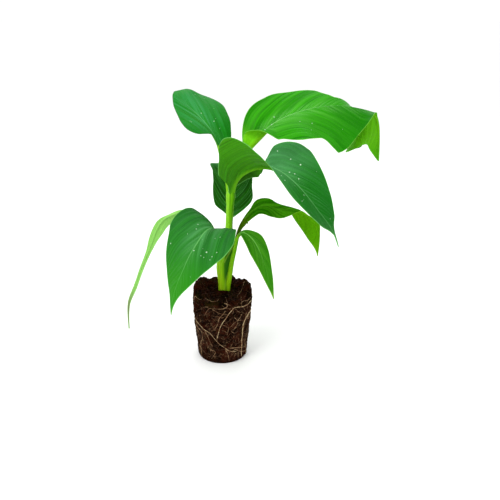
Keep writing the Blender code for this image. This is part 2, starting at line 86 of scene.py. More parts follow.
# What changes along a blade has a row of stations, in hundredths of its length, and a row of
# values, or one for the left half and one for the right. Folds, curls and rolls are in degrees,
# sweeps and shares of the half-width in hundredths.
LEAVES = {
    "arched": dict(
        petiole=[],
        blade=[
            (10, 0, 172.2), (12.2, -1, 182.5), (18, -3, 191.5), (27.5, -6, 198), (38, -9, 201),
            (50, -13, 200), (62, -19, 194), (75, -25, 183), (92, -33, 163), (104, -37, 147),
            (110, -38, 132),
        ],
        facing=(-1, 0, 0), rib_radius=2.3, half_width=44, blunt=0.42, taper=0.85, vein_slope=1.7,
        pleat_width=7, look="painted_sheen", nodes=["arched_inner_blade", "arched_outer_blade"],
        curl_left=((0, 100), (10, -20)),
        curl_right=((0, 25, 40, 100), (25, 15, -5, -5)),
        fold_left=(
            (0, 4, 10, 18, 25, 28, 31, 36, 42, 50, 70, 100),
            (-30, -70, -78, -76, -79, -79, 11, 69, 27, 20, 14, -17),
        ),
        fold_right=((0, 8, 16, 24, 30, 36, 44, 55, 75, 100), (15, 30, 52, 51, 47, 40, 30, 21, 28, 29)),
        sweep_left=((0, 25, 31, 40, 60, 100), (-15, -14, -11, 20, 22, 45)),
        sweep_right=((0, 10, 20, 30, 40, 60, 100), (60, 22, 25, 13, 10, 41, 36)),
        share_left=(
            (0, 3, 6, 10, 15, 20, 25, 28, 31, 34, 38, 43, 50, 60, 70, 80, 87, 92, 100),
            (4, 9, 16, 23, 28, 32, 34, 25, 22, 44, 64, 81, 79, 75, 72, 64, 33, 17, 14),
        ),
        share_right=(
            (0, 5, 9, 13, 19, 25, 31, 37, 45, 60, 75, 88, 93, 100),
            (4, 23, 74, 87, 131, 102, 68, 48, 56, 76, 82, 34, 4, 4),
        ),
    ),
    "upper_right": dict(
        petiole=[(8.5, 2, 164), (10, 8, 175), (13, 12, 188), (18, 13.5, 201)],
        blade=[
            (24.5, 14, 211.5), (31, 13.5, 219), (37.9, 13.5, 226), (45, 15, 232.8), (53.6, 18, 238.4),
            (64.3, 22, 243.2), (78.2, 29, 247), (94.5, 38, 249.4), (111.4, 48, 249.6), (130, 60, 247.2),
            (146, 71, 243), (158, 80, 237), (163.5, 86, 225), (166, 88, 207), (167.5, 88, 186),
        ],
        facing=(-0.7, -0.1, 0.7), rib_radius=2.1, half_width=46, blunt=0.5, taper=0.7, vein_slope=1.4,
        pleat_width=7.5, look="bright", nodes=["upper_right_inner_blade", "upper_right_outer_blade"],
        curl_left=-12, curl_right=-10,
        fold_left=(
            (0, 10, 20, 30, 42, 50, 60, 66, 72, 85, 100),
            (60, 77, 52, 47, 47, 58, 25, -75, -55, -80, -17),
        ),
        fold_right=(
            (0, 6, 12, 16, 22, 35, 50, 62, 72, 80, 100),
            (30, 100, 39, -30, -27, -52, -64, -57, -11, 30, 30),
        ),
        sweep_left=((0, 10, 30, 50, 60, 75, 100), (-10, -2, 29, 50, 50, 14, 30)),
        sweep_right=((0, 10, 30, 50, 70, 100), (-5, -30, -6, -18, -30, -30)),
        share_left=(
            (0, 4, 10, 20, 30, 40, 46, 50, 60, 66, 72, 80, 90, 100),
            (27, 56, 69, 79, 67, 57, 36, 26, 28, 84, 122, 156, 72, 45),
        ),
        share_right=(
            (0, 4, 10, 16, 24, 34, 42, 48, 54, 60, 66, 72, 78, 100),
            (4, 40, 45, 57, 95, 77, 100, 109, 105, 88, 59, 27, 4, 4),
        ),
    ),
    "upper_left": dict(
        petiole=[(6.6, 1, 164), (6.3, 4.5, 174), (5, 8.5, 184), (2.2, 12.5, 196), (-1, 15.5, 208)],
        blade=[
            (-3, 17, 216), (-10, 20, 229), (-19.5, 28, 239.5), (-31, 39, 249), (-41, 48, 257),
            (-48, 54, 264),
        ],
        facing=(0.6, -0.6, 0.5), rib_radius=1.6, half_width=26, blunt=0.42, taper=0.45, vein_slope=2.8,
        pleat_width=5.5, look="cool", nodes=["upper_left_blade"], curl=-15,
        fold=((0, 30, 100), (35, 10, 0), (35, 15, 5)),
        sweep_left=((0, 15, 25, 50, 80, 100), (15, 10, 5, 10, 27, 30)),
        sweep_right=((0, 25, 50, 80, 100), (-30, -30, 0, 19, 30)),
        share_left=(
            (0, 12, 15, 17, 20, 24, 30, 40, 55, 70, 85, 95, 100),
            (10, 6, 4, 13, 71, 92, 99, 92, 77, 63, 46, 33, 14),
        ),
        share_right=((0, 12, 25, 40, 55, 70, 85, 95, 100), (77, 83, 92, 112, 134, 137, 127, 136, 47)),
    ),
    "rear": dict(
        petiole=[(8, 1, 146), (9, 8, 159), (10, 16, 174), (9.5, 22, 186)],
        blade=[(9.5, 27, 192), (9, 34, 194), (9, 42, 187), (9, 49, 171), (8, 53, 152), (7, 54, 132)],
        facing=(0, -0.4, 1), rib_radius=1.5, half_width=22, blunt=0.35, taper=0.5, vein_slope=-0.9,
        pleat_width=6.5, look="rear", nodes=["rear_inner_blade", "rear_outer_blade"], curl=-15,
        fold=((0, 30, 100), (6, 16, 25), (20, 20, -35)),
        sweep=((0, 50, 100), (-20, -20, 39), (-20, 7, 40)),
        share=(
            (0, 10, 20, 35, 50, 65, 80, 90, 100),
            (25, 71, 106, 91, 92, 102, 110, 64, 16),
            (62, 81, 100, 96, 95, 108, 84, 60, 31),
        ),
    ),
    "middle_right": dict(
        petiole=[(3, 1, 93), (8, 6, 103), (13, 8, 117), (17, 10, 132)],
        blade=[
            (22, 12, 142), (30, 16, 150), (41, 21, 154), (58, 28, 148), (72, 35, 147), (84, 41, 141),
            (95, 45, 129), (101, 46, 111), (100, 46, 91),
        ],
        facing=(-0.7, -0.3, 0.6), rib_radius=1.5, half_width=18, blunt=0.5, taper=0.7, vein_slope=2.2,
        pleat_width=3.5, flare_right=3, look="olive",
        nodes=["middle_right_inner_blade", "middle_right_outer_blade"], curl=-15,
        fold_left=((0, 15, 30, 50, 70, 100), (15, 17, 37, 9, -21, -40)),
        fold_right=((0, 2, 10, 20, 40, 55, 75, 100), (-35, 10, 15, -12, -50, 10, 15, -40)),
        sweep=((0, 30, 60, 100), (-20, -20, -20, 11), (-20, -20, -20, -20)),
        share_left=((0, 10, 20, 35, 50, 60, 70, 85, 100), (4, 32, 80, 67, 23, 150, 160, 147, 43)),
        share_right=(
            (0, 4, 10, 20, 30, 40, 50, 60, 70, 80, 90, 100),
            (70, 130, 160, 124, 70, 45, 32, 4, 69, 25, 4, 4),
        ),
    ),
    "lower_right": dict(
        petiole=[(14, -2.5, 126)],
        blade=[
            (17, -3.5, 132), (20, -4.5, 134), (26, -7, 132), (34, -10, 122), (40, -12, 108),
            (46, -13, 88), (51, -12, 67),
        ],
        facing=(-0.7, -0.2, 0.7), rib_radius=1.3, half_width=11.5, blunt=0.5, taper=0.8, vein_slope=2.4,
        pleat_width=4.5, look="young", nodes=["lower_right_blade"], curl=-10,
        fold=((0, 20, 100), (0, 4, 3), (43, 14, 3)),
        sweep=((0, 30, 60, 100), (8, -15, 9, 45), (-5, 5, 12, 24)),
        share=(
            (0, 10, 25, 40, 60, 80, 100),
            (4, 64, 102, 92, 73, 58, 30),
            (34, 107, 107, 95, 72, 51, 16),
        ),
    ),
    "lower_left": dict(
        petiole=[(0.3, 2.5, 98.5), (-2, -0.2, 105.7), (-4.3, -10.2, 121.3)],
        blade=[
            (-6.3, -17.3, 135.4), (-9.3, -26.4, 145.5), (-14.3, -32.4, 144.5), (-20.4, -38.5, 137.4),
            (-27.4, -43.5, 127.3), (-34.5, -48.5, 113.2), (-42.6, -51.6, 94.1), (-47.6, -50.6, 67.9),
        ],
        facing=(0.6, 0.6, 0.5), rib_radius=1.8, half_width=36.3, blunt=0.45, taper=1.05, vein_slope=1.6,
        pleat_width=7.5, look="deep", nodes=["lower_left_blade"], curl=-20,
        fold_left=((0, 20, 50, 100), (70, 19, 19, 8)),
        fold_right=((0, 10, 30, 60, 100), (58, 23, 12, -14, -10)),
        sweep=((0, 10, 30, 60, 100), (40, -4, 19, 12, 38), (-4, 0, 3, 36, 31)),
        share_left=((0, 10, 20, 35, 50, 70, 85, 100), (4, 69, 103, 84, 71, 51, 30, 4)),
        share_right=((0, 6, 12, 25, 40, 55, 70, 85, 100), (26, 70, 100, 95, 90, 85, 66, 46, 34)),
    ),
    "far_left": dict(
        petiole=[(-2, 1, 93), (-4, 5, 105), (-7, 9, 122), (-13, 15, 137)],
        blade=[
            (-22, 20, 143.5), (-32, 24, 146.5), (-43, 28, 146.5), (-52, 31, 143), (-62, 34, 136.5),
            (-69.5, 36.5, 126), (-75.5, 39, 112), (-83, 42, 94), (-92, 44, 74), (-101, 46, 51),
            (-106, 45, 39), (-108, 44, 24), (-108, 43, 6),
        ],
        facing=(-0.2, 0.4, 0.9), rib_radius=1.3, half_width=9, blunt=0.35, taper=1.6, vein_slope=6,
        pleat_width=3, tip_width=0.75, look="pale", nodes=["far_left_blade"], curl=-15,
        roll=((0, 10, 20, 35, 70, 85, 100), (-20, -40, -60, -76, -78, -70, -40)),
        fold=((0, 20, 100), (20, 10, 0)),
        sweep=((0, 50, 100), (-29, -1, 30), (30, 30, 30)),
        share=(
            (0, 10, 20, 30, 40, 50, 65, 80, 90, 100),
            (9, 4, 4, 47, 62, 38, 31, 62, 62, 57),
            (59, 59, 80, 83, 53, 34, 61, 99, 88, 89),
        ),
    ),
}

# Leaf colours, as 8-bit sRGB. The bloom colours are partly the leaves' waxy bloom and partly painted sheen,
# strongest in the arched leaf's look; the shade colours also give painted shade in the pleat valleys.
LEAF_LOOKS = {
    "deep": dict(
        upper=(35, 122, 26), shade=(8, 80, 14), bloom_and_sheen=(74, 146, 80), lower=(56, 138, 18),
        rib_above=(104, 176, 96), rib_below=(88, 164, 20), margin=(112, 186, 92), tip=(108, 150, 40),
        fold_shade_strength=0.85, late=0.85, late_to=(42, 134, 0), late_stripes_and_fold_shade=0.25, rib_from=(0.32, 0.3),
        rib_to=(0.75, 0.25), bloom_and_sheen_at=(0.25, 0.55, 1.0, 0.1), bloom_and_sheen_least=0.15, tip_from=0.93,
    ),
    # Look of the arched leaf, with the strongest painted sheen
    "painted_sheen": dict(
        upper=(34, 126, 26), shade=(8, 82, 12), bloom_and_sheen=(92, 164, 104), lower=(62, 146, 20),
        rib_above=(112, 182, 112), rib_below=(98, 168, 18), margin=(112, 186, 92), tip=(58, 140, 44),
        fold_shade_strength=0.6, late=1.0, bloom_and_sheen_at=(0.34, 0.6, 1.0, 0.0), late_stripes_and_fold_shade=0.7, bloom_and_sheen_far=0.5,
        painted_shade_below_left=0.8, grain=0.75, bloom_and_sheen_least=0.6, late_to=(14, 98, 14),
    ),
    "cool": dict(
        upper=(26, 132, 16), shade=(12, 100, 8), bloom_and_sheen=(54, 148, 78), lower=(60, 146, 20),
        rib_above=(104, 186, 112), rib_below=(92, 168, 20), margin=(52, 112, 48), tip=(50, 138, 56),
        fold_shade_strength=0.6, bloom_and_sheen_at=(0.12, 0.4, 0.1, 1.0), late_stripes_and_fold_shade=0.6, rib_from=(0.5, 0.05),
        rib_to=(0.8, 0.1), late=0.7, late_to=(22, 122, 34),
    ),
    "bright": dict(
        upper=(50, 164, 5), shade=(20, 114, 0), bloom_and_sheen=(74, 170, 42), lower=(84, 168, 10),
        rib_above=(150, 216, 132), base=(122, 214, 26), rib_below=(126, 192, 18), margin=(120, 196, 66),
        tip=(74, 160, 10), fold_shade_strength=1.05, late=0.75, late_stripes_and_fold_shade=0.75, late_right=0.55, under_fold_shade=0.15,
        grain=0.2, late_to=(6, 98, 0),
    ),
    "rear": dict(
        upper=(34, 116, 44), shade=(20, 92, 22), bloom_and_sheen=(74, 144, 88), lower=(32, 100, 12),
        rib_above=(84, 150, 76), rib_below=(84, 160, 84), margin=(88, 152, 78), tip=(44, 116, 30),
        fold_shade_strength=1.3, base=(70, 148, 80), base_end=0.3, gloss=0.01, grain=0.8,
    ),
    "olive": dict(
        upper=(44, 124, 2), shade=(20, 78, 0), bloom_and_sheen=(70, 146, 14), lower=(84, 160, 8),
        rib_above=(92, 156, 36), rib_below=(106, 172, 16), margin=(122, 176, 42), tip=(104, 166, 14),
        fold_shade_strength=1.0, base=(66, 98, 6), base_end=0.12, gloss=0.0, under_fold_shade=0.3, grain=0.3,
    ),
    "young": dict(
        upper=(48, 130, 2), shade=(30, 102, 0), bloom_and_sheen=(66, 142, 18), lower=(86, 158, 16),
        rib_above=(118, 188, 84), rib_below=(116, 184, 30), margin=(126, 182, 54), tip=(106, 160, 32),
        fold_shade_strength=0.4, gloss=0.02, rib_to=(0.5, 0.12),
    ),
    "pale": dict(
        upper=(136, 202, 82), shade=(104, 186, 70), bloom_and_sheen=(146, 206, 110), lower=(142, 208, 98),
        rib_above=(138, 206, 100), rib_below=(146, 210, 104), margin=(144, 204, 108), tip=(116, 122, 88),
        fold_shade_strength=0.5, tip_from=0.7, tip_full=0.88, late=0.6, late_to=(150, 190, 78), rib_to=(0.4, 0.2),
        under_fold_shade=0.2,
    ),
}
STALK_COLOURS = (124, 186, 20), (112, 180, 24)
# The middle right leaf's petiole: darker green, partly its own colour and partly painted shade where it
# runs between the stems
DARK_SHADED_STALK_COLOURS = (72, 108, 8), (54, 82, 4)
# Stem colours. The light pair is painted light on each stem's left side and the dark pair is painted shade
# on its right side; shaded is painted shade on the wing and along the seam.
STEM_COLOURS = dict(
    high=(112, 184, 14), low=(140, 190, 8), painted_lit_high=(142, 210, 48), painted_lit_low=(158, 198, 18),
    painted_shade_high=(52, 120, 0), painted_shade_low=(62, 112, 0), streak=(78, 144, 6), edging=(150, 188, 60),
    foot=(96, 108, 16), shaded=(34, 92, 2),
)

# Stems: x, y, height and radius along each
STEM = [
    (-0.1, 0, 70.4, 5.1), (-0.1, 0, 74, 4.8), (-0.9, 0, 88, 5.0), (-1.2, 0, 101, 5.2),
    (2.3, 0, 118, 4.4), (6.0, 0, 134, 3.9), (7.1, 0, 151, 3.7), (7.9, 0, 163, 4.0), (8.7, 0, 172, 4.6),
    (8.9, 0.8, 175, 3.6), (9.0, 1.4, 177, 1.6),
]
SIDE_STEM = [
    (4.2, -1.8, 70.4, 2.8), (4.5, -1.8, 74, 2.65), (6.1, -2, 84, 2.55), (8.9, -2, 102, 2.35),
    (12, -2, 116, 2.1), (14.3, -2.5, 126.5, 1.6),
]
STEM_STEP = 0.7
STEM_SIDES = 120
STEM_RIBS = 26
RIB_HEIGHT = 0.05
DENT_DEPTH = 0.12
# Leaf sheaths that wrap the main stem: the way each faces (degrees from the front towards +X),
# where its petiole leaves, and how fast its edges close round the stem below (degrees per mm)
SHEATHS = [(-143, 101, 2.8), (135, 100, 3.0), (173, 152, 2.6), (-150, 166, 2.2), (140, 165, 2.4)]
SHEATH_HALF_ANGLE = 42
SHEATH_STEP = 0.22
SHEATH_FADE = 6
SHEATH_EDGE = 0.5  # width of the slope at a sheath's edge
SHEATH_LINE = 0.35  # reach of the light line along it
STRAND_GROOVE = 0.9  # depth at the top, where the arched leaf's petiole parts from the others
STRAND_FACINGS = (-4, 180)
STRAND_FOOT = 128
STRAND_RUN = 40  # height over which the groove gets its full depth
STRAND_SPREAD = 0.3  # spreads are in radians
WEB_FACING = 44  # where the crevice between the stems is filled near the soil
WEB_REACH = 0.9
WEB_TOP = 84
WEB_FADE = 9
WEB_SPREAD = 0.32
# The seam is a line of painted shade down the groove where the arched leaf's petiole parts from the others
SEAM_FACING = -3  # where the arched leaf's petiole parts from the others, at its top
SEAM_TOP = 172
SEAM_FOOT = 136
SEAM_TURN = 0.007  # radians per millimetre, going down
SEAM_SPREAD = 0.17
SEAM_SHADE = 0.55
# The wing gets painted shade where it turns towards the side shoot
WING_FACING = 84  # side of the main stem whose sheath reaches out to the side shoot
WING_SPREAD = 0.6
WING_SHADE_EDGE = 1.3  # radians from its middle to where its shade ends
WING = ((70, 80, 88, 98, 108, 120, 130, 138), (0, 0.4, 1.8, 3.4, 3.8, 4.0, 2.6, 0))  # height, reach


# Curves and values along a line


def natural_cubic(knots, values, at):
    """Natural cubic spline through values (rows) at knots, read at the stations."""
    count = len(knots)
    step = np.diff(knots)
    matrix = np.eye(count)
    right = np.zeros((count, values.shape[1]))
    for i in range(1, count - 1):
        matrix[i, i - 1 : i + 2] = step[i - 1], 2 * (step[i - 1] + step[i]), step[i]
        right[i] = 6 * ((values[i + 1] - values[i]) / step[i] - (values[i] - values[i - 1]) / step[i - 1])
    bend = np.linalg.solve(matrix, right)
    k = np.clip(np.searchsorted(knots, at) - 1, 0, count - 2)
    after = (at - knots[k])[:, None]
    before = (knots[k + 1] - at)[:, None]
    h = step[k][:, None]
    return (
        (bend[k] * before**3 + bend[k + 1] * after**3) / (6 * h)
        + (values[k] / h - bend[k] * h / 6) * before
        + (values[k + 1] / h - bend[k + 1] * h / 6) * after
    )


def keyed(keys, stations):
    """Smooth value through a row of stations and a row of values, that never overshoots them."""
    at, value = np.asarray(keys, float)
    step = np.diff(at)
    slope = np.diff(value) / step
    tangent = np.zeros(len(at))
    tangent[0], tangent[-1] = slope[0], slope[-1]
    for i in range(1, len(at) - 1):
        if slope[i - 1] * slope[i] > 0:
            a, b = 2 * step[i] + step[i - 1], step[i] + 2 * step[i - 1]
            tangent[i] = (a + b) / (a / slope[i - 1] + b / slope[i])
    k = np.clip(np.searchsorted(at, stations) - 1, 0, len(at) - 2)
    t = (stations - at[k]) / step[k]
    return (
        (2 * t**3 - 3 * t**2 + 1) * value[k]
        + (t**3 - 2 * t**2 + t) * step[k] * tangent[k]
        + (3 * t**2 - 2 * t**3) * value[k + 1]
        + (t**3 - t**2) * step[k] * tangent[k + 1]
    )


def chord_lengths(points):
    return np.concatenate([[0], np.cumsum(np.linalg.norm(np.diff(points, axis=0), axis=1))])


def read_rows(knots, rows, at):
    return np.stack([np.interp(at, knots, rows[:, i]) for i in range(rows.shape[1])], axis=-1)


def smooth_line(points, count):
    """Evenly spaced points on the spline through the given ones, with their distances along it."""
    points = np.asarray(points, float)
    chords = chord_lengths(points)
    fine = natural_cubic(chords, points, np.linspace(0, chords[-1], 4 * count))
    lengths = chord_lengths(fine)
    at = np.linspace(0, lengths[-1], count)
    return read_rows(lengths, fine, at), at


def unit(rows):
    return rows / np.maximum(np.linalg.norm(rows, axis=-1, keepdims=True), 1e-12)


def eased(values):
    """0 to 1 with a soft start and end."""
    t = np.clip(values, 0, 1)
    return t * t * (3 - 2 * t)


def bell(values, power=2):
    """1 at zero, falling to nothing over about twice the unit."""
    return np.exp(-(values**power))


def wobble(values, seed):
    """Smooth random curve between -1 and 1, with about one bend per unit."""
    knots = np.random.default_rng(seed).uniform(-1, 1, 2048)
    low = np.floor(values).astype(int)
    t = eased(values - low)
    return knots[low % len(knots)] * (1 - t) + knots[(low + 1) % len(knots)] * t


def carried(along, start, first):
    """A direction square to the line, carried both ways from its start without twisting."""
    across = np.zeros_like(along)
    for order in (range(start, len(along)), range(start, -1, -1)):
        direction = np.asarray(first, float)
        for i in order:
            direction = direction - (direction @ along[i]) * along[i]
            direction = direction / np.linalg.norm(direction)
            across[i] = direction
    return across


def softened(rows, passes):
    """Rows with their bends smoothed out. The ends stay."""
    for _ in range(passes):
        rows[1:-1] = (rows[:-2] + 2 * rows[1:-1] + rows[2:]) / 4
    return rows


# Meshes


def place_object(name, data, place=(0, 0, 0), turn=(0, 0, 0)):
    made = bpy.data.objects.new(name, data)
    made.location = place
    made.rotation_euler = turn
    bpy.context.scene.collection.objects.link(made)
    return made


def make_mesh(name, points, faces, look, values=None, sharp=None):
    """A piece from points in millimetres, with named values on its points for the material to read."""
    mesh = bpy.data.meshes.new(name)
    mesh.from_pydata((np.asarray(points) * MM).tolist(), [], faces)
    mesh.shade_smooth()
    if sharp:
        mesh.set_sharp_from_angle(angle=math.radians(sharp))
    for key, rows in (values or {}).items():
        attribute = mesh.attributes.new(key, "FLOAT", "POINT")
        attribute.data.foreach_set("value", np.asarray(rows, np.float32).reshape(-1))
    mesh.materials.append(look)
    piece = place_object(name, mesh)
    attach(piece, "root")
    return piece


def ring_faces(rows, count):
    """Quads between closed rings, each of the same count of points."""
    i, j = np.meshgrid(np.arange(rows - 1), np.arange(count), indexing="ij")
    first = i * count + j
    second = i * count + (j + 1) % count
    return np.stack([first, second, second + count, first + count], axis=-1).reshape(-1, 4)


def tube_faces(rows, count, base=0):
    """Faces of a tube of closed rings with flat ends, where the points count from the base."""
    first = base + np.arange(count)
    last = first + (rows - 1) * count
    return [*(ring_faces(rows, count) + base).tolist(), first[::-1].tolist(), last.tolist()]


def thin_solid(upper, lower):
    """The closed shape between two grids. Each ring runs over one and back under the other."""
    rows, columns = upper.shape[:2]
    count = 2 * columns
    points = np.concatenate([upper, lower[:, ::-1]], axis=1).reshape(-1, 3)
    j = np.arange(columns - 1)
    start = np.stack([j, count - 1 - j, count - 2 - j, j + 1], axis=-1)
    end = start[:, ::-1] + (rows - 1) * count
    faces = np.concatenate([ring_faces(rows, count), start, end])[:, ::-1]
    return points, faces.tolist()


# Leaf shapes


class Leaf:
    """One leaf: its centre line with directions along, up and left of it, and its cross-sections."""

    def __init__(self, spec):
        self.spec = spec
        self.line, self.at = smooth_line(spec["petiole"] + spec["blade"], PATH_SAMPLES)
        nearest = np.linalg.norm(self.line - np.array(spec["blade"][0], float), axis=1)
        self.start = int(np.argmin(nearest)) if spec["petiole"] else 0
        self.length = self.at[-1] - self.at[self.start]
        self.along = unit(np.gradient(self.line, axis=0))
        self.up = carried(self.along, self.start, spec["facing"])
        stations = np.clip((self.at - self.at[self.start]) / self.length, 0, 1)
        roll = np.radians(self.value("roll", "", stations))[:, None]
        self.up = self.up * np.cos(roll) + np.cross(self.up, self.along) * np.sin(roll)
        self.left = np.cross(self.up, self.along)

    def value(self, key, side, stations, parts=1):
        """One of the leaf's values along the blade, on this side. Its table gives it in parts of one."""
        keys = self.spec.get(key, self.spec.get(key + "_" + side, 0))
        if not isinstance(keys, tuple):
            return np.full(len(stations), keys / parts)
        rows = np.array(keys, float)
        return keyed((rows[0] / 100, rows[-1 if side == "right" else 1] / parts), stations)

    def read(self, rows, stations):
        return read_rows(self.at, rows, self.at[self.start] + self.length * stations)

    def half_width(self, stations):
        spec = self.spec
        widest = spec["blunt"] / (spec["blunt"] + spec["taper"])
        outline = (stations / widest) ** spec["blunt"] * ((1 - stations) / (1 - widest)) ** spec["taper"]
        return outline * spec["half_width"]

    def depth(self, stations):
        """Depth of the midrib with its blade. On the petiole, at stations under 0, it grows to the stem."""
        thick = 2 * self.spec["rib_radius"]
        blade = RIB_DEPTH_AT_TIP + (thick - RIB_DEPTH_AT_TIP) * (1 - np.clip(stations, 0, 1)) ** 1.1
        stalk = np.clip(-stations * self.length / max(self.at[self.start], 1), 0, 1)
        return blade * (1 + STALK_TAPER * stalk)

    def half(self, side, sign, stations, columns):
        """One half's points from the midrib out, with their distance from it and the half's width."""
        s = np.clip(stations, 0, 1)
        line = self.read(self.line, stations)
        along, up, left = (unit(self.read(rows, stations)) for rows in (self.along, self.up, self.left))
        depth = self.depth(stations)
        flat = 1 - np.clip(1 - (1 - s) / FLAT_TIP, 0, 1) ** 2
        fold = np.radians(self.value("fold", side, s)) * flat
        curl = np.radians(self.value("curl", side, s))
        sweep = self.value("sweep", side, s, 100)
        flare = self.spec.get("flare_" + side, 0) * bell(stations * self.length / FLARE_LENGTH)
        tip = self.spec.get("tip_width", TIP_HALF_WIDTH)
        least = flare + BASE_WIDTH * depth / 2 * (1 - s) ** BASE_FADE + tip
        width = self.half_width(s) * self.value("share", side, s, 100) + least
        crease = np.minimum(0.75 * depth, 0.6 * width)[:, None]
        inner = np.linspace(0, 1, CREASE_COLUMNS + 1)
        outer = 1 - (1 - np.linspace(0, 1, columns + 1)[1:]) ** 1.2
        x = np.concatenate([crease * inner, crease + (width[:, None] - crease) * outer], axis=1)
        q = x / width[:, None]
        angle = fold[:, None] * eased(x / crease) + curl[:, None] * q
        middle = (angle[:, 1:] + angle[:, :-1]) / 2
        step = np.diff(x, axis=1)
        none = np.zeros((len(s), 1))
        out = np.concatenate([none, np.cumsum(np.cos(middle) * step, axis=1)], axis=1)
        lift = np.concatenate([none, np.cumsum(np.sin(middle) * step, axis=1)], axis=1)
        centre = line + up * (depth / 2)[:, None]
        points = centre[:, None] + sign * left[:, None] * out[..., None] + up[:, None] * lift[..., None]
        points = points + along[:, None] * (sweep[:, None] * width[:, None] * q * q)[..., None]
        return points, x, width

    def grid(self, stations, columns):
        """Both halves as one grid from the right margin to the left, with distances from the midrib."""
        left, x_left, w_left = self.half("left", 1, stations, columns)
        right, x_right, w_right = self.half("right", -1, stations, columns)
        points = np.concatenate([right[:, :0:-1], left], axis=1)
        x = np.concatenate([-x_right[:, :0:-1], x_left], axis=1)
        width = np.where(x < 0, w_right[:, None], w_left[:, None])
        return points, x, width


def leaf_solid(leaf, stations, columns, seed, relief=True):
    """The leaf's closed shape over the stations, and the values that its material reads."""
    points, x, width = leaf.grid(stations, columns)
    s = np.clip(stations, 0, 1)[:, None] + 0 * x
    run = stations[:, None] * leaf.length + 0 * x
    away = np.abs(x)
    q = away / width
    side_seed = np.where(x < 0, SIDE_SHIFT, 0)
    lying = 1 + VEIN_LYING * (1 - s) ** 2 + 0.2 * q
    vein = run - leaf.spec["vein_slope"] * away * lying + side_seed
    rib = RIB_SPREAD * leaf.depth(stations)[:, None] / 2
    normals = unit(np.cross(np.gradient(points, axis=0), np.gradient(points, axis=1)))
    pleat = wobble(vein / leaf.spec["pleat_width"], seed)
    if relief:
        off_rib = eased((away - 0.6 * rib) / (2 * rib))
        in_rim = 1 - q**8
        pleats = PLEAT_DEPTH * pleat + RIDGE_DEPTH * wobble(vein / RIDGE_WIDTH, seed + 1)
        size = np.clip(width / BROAD_HALF, 0, 1)
        ripples = RIPPLE_HEIGHT * size * q**3 * wobble(run / RIPPLE_LENGTH + side_seed, seed + 2)
        raised = pleats * off_rib * in_rim * np.clip(size * 1.6, 0, 1) + ripples
        points = points + normals * raised[..., None]
        points = points - normals * (RIB_GROOVE * rib * bell(away / (0.35 * rib)))[..., None]
    blade = RIM_THICKNESS + (BLADE_THICKNESS - RIM_THICKNESS) * np.sqrt(np.clip(1 - q**6, 0, 1))
    rib_depth = (leaf.depth(stations)[:, None] - BLADE_THICKNESS).clip(0.15)
    thick = blade + rib_depth * bell(away / (0.8 * rib), 2.8)
    solid, faces = thin_solid(points, points - normals * thick[..., None])
    values = {
        "side": (np.zeros_like(x), np.ones_like(x)),
        "run": (run, run),
        "station": (s, s),
        "away": (away, away),
        "left": (x > 0, x > 0),
        "vein": (vein, vein),
        "pleat": (pleat, -pleat),
        "rim": (width - away, width - away),
        "rib": (bell(away / (0.22 * rib + 0.2)), bell(away / (0.85 * rib), 4)),
    }
    values = {key: np.concatenate([a, b[:, ::-1]], axis=1) for key, (a, b) in values.items()}
    return points, normals, solid, faces, values


# Materials


def linear(colour, share=1):
    """8-bit sRGB as the linear colour that a shader takes, dimmed to a share of it."""
    part = np.asarray(colour, float) / 255
    part = np.where(part <= 0.04045, part / 12.92, ((part + 0.055) / 1.055) ** 2.4)
    return (*(share * part), 1.0)


class Look:
    """One procedural material, with short ways to add its nodes. Colours of three parts are 8-bit sRGB."""

    def __init__(self, name, roughness, specular=0.08):
        self.material = bpy.data.materials.new(name)
        self.material.use_nodes = True
        self.tree = self.material.node_tree
        self.shader = self.tree.nodes["Principled BSDF"]
        self.set("Specular IOR Level", specular)
        self.set("Roughness", roughness)

    def put(self, socket, value):
        if isinstance(value, bpy.types.NodeSocket):
            self.tree.links.new(value, socket)
        elif isinstance(value, tuple) and len(value) == 3:
            socket.default_value = linear(value)
        else:
            socket.default_value = value

    def set(self, name, value):
        self.put(self.shader.inputs[name], value)

    def node(self, kind, inputs, **settings):
        made = self.tree.nodes.new("ShaderNode" + kind)
        for key, value in settings.items():
            setattr(made, key, value)
        for key, value in inputs.items():
            self.put(made.inputs[key], value)
        return made

    def read(self, name):
        return self.node("Attribute", {}, attribute_name=name).outputs["Fac"]

    def calc(self, operation, *values):
        return self.node("Math", dict(enumerate(values)), operation=operation).outputs[0]

    def times(self, a, b):
        return self.calc("MULTIPLY", a, b)

    def fit(self, value, low, high, to_low=0.0, to_high=1.0):
        """The value brought from one range to another, with a soft start and end."""
        inputs = {"Value": value, "From Min": low, "From Max": high, "To Min": to_low, "To Max": to_high}
        return self.node("MapRange", inputs, interpolation_type="SMOOTHSTEP").outputs["Result"]

    def mix(self, factor, a, b):
        return self.node("Mix", {0: factor, 6: a, 7: b}, data_type="RGBA").outputs[2]

    def layers(self, skin, *layers):
        """A colour with others laid over it in turn, each by its own factor."""
        for factor, colour in layers:
            skin = self.mix(factor, skin, colour)
        return skin

    def vector(self, x, y):
        return self.node("CombineXYZ", {"X": x, "Y": y}).outputs[0]

    def place(self):
        """Object coordinates in millimetres."""
        found = self.node("TexCoord", {}).outputs["Object"]
        return self.node("VectorMath", {0: found, "Scale": 1 / MM}, operation="SCALE").outputs[0]

    def noise(self, vector, scale, detail=2.0, roughness=0.5):
        inputs = {"Vector": vector, "Scale": scale, "Detail": detail, "Roughness": roughness}
        return self.node("TexNoise", inputs).outputs["Fac"]

    def finish(self, skin, height=None, distance=0.0):
        """The material, with its skin colour and its bumps."""
        self.set("Base Color", skin)
        if height:
            inputs = {"Height": height, "Distance": distance * MM, "Strength": 1.0}
            self.set("Normal", self.node("Bump", inputs).outputs[0])
        return self.material


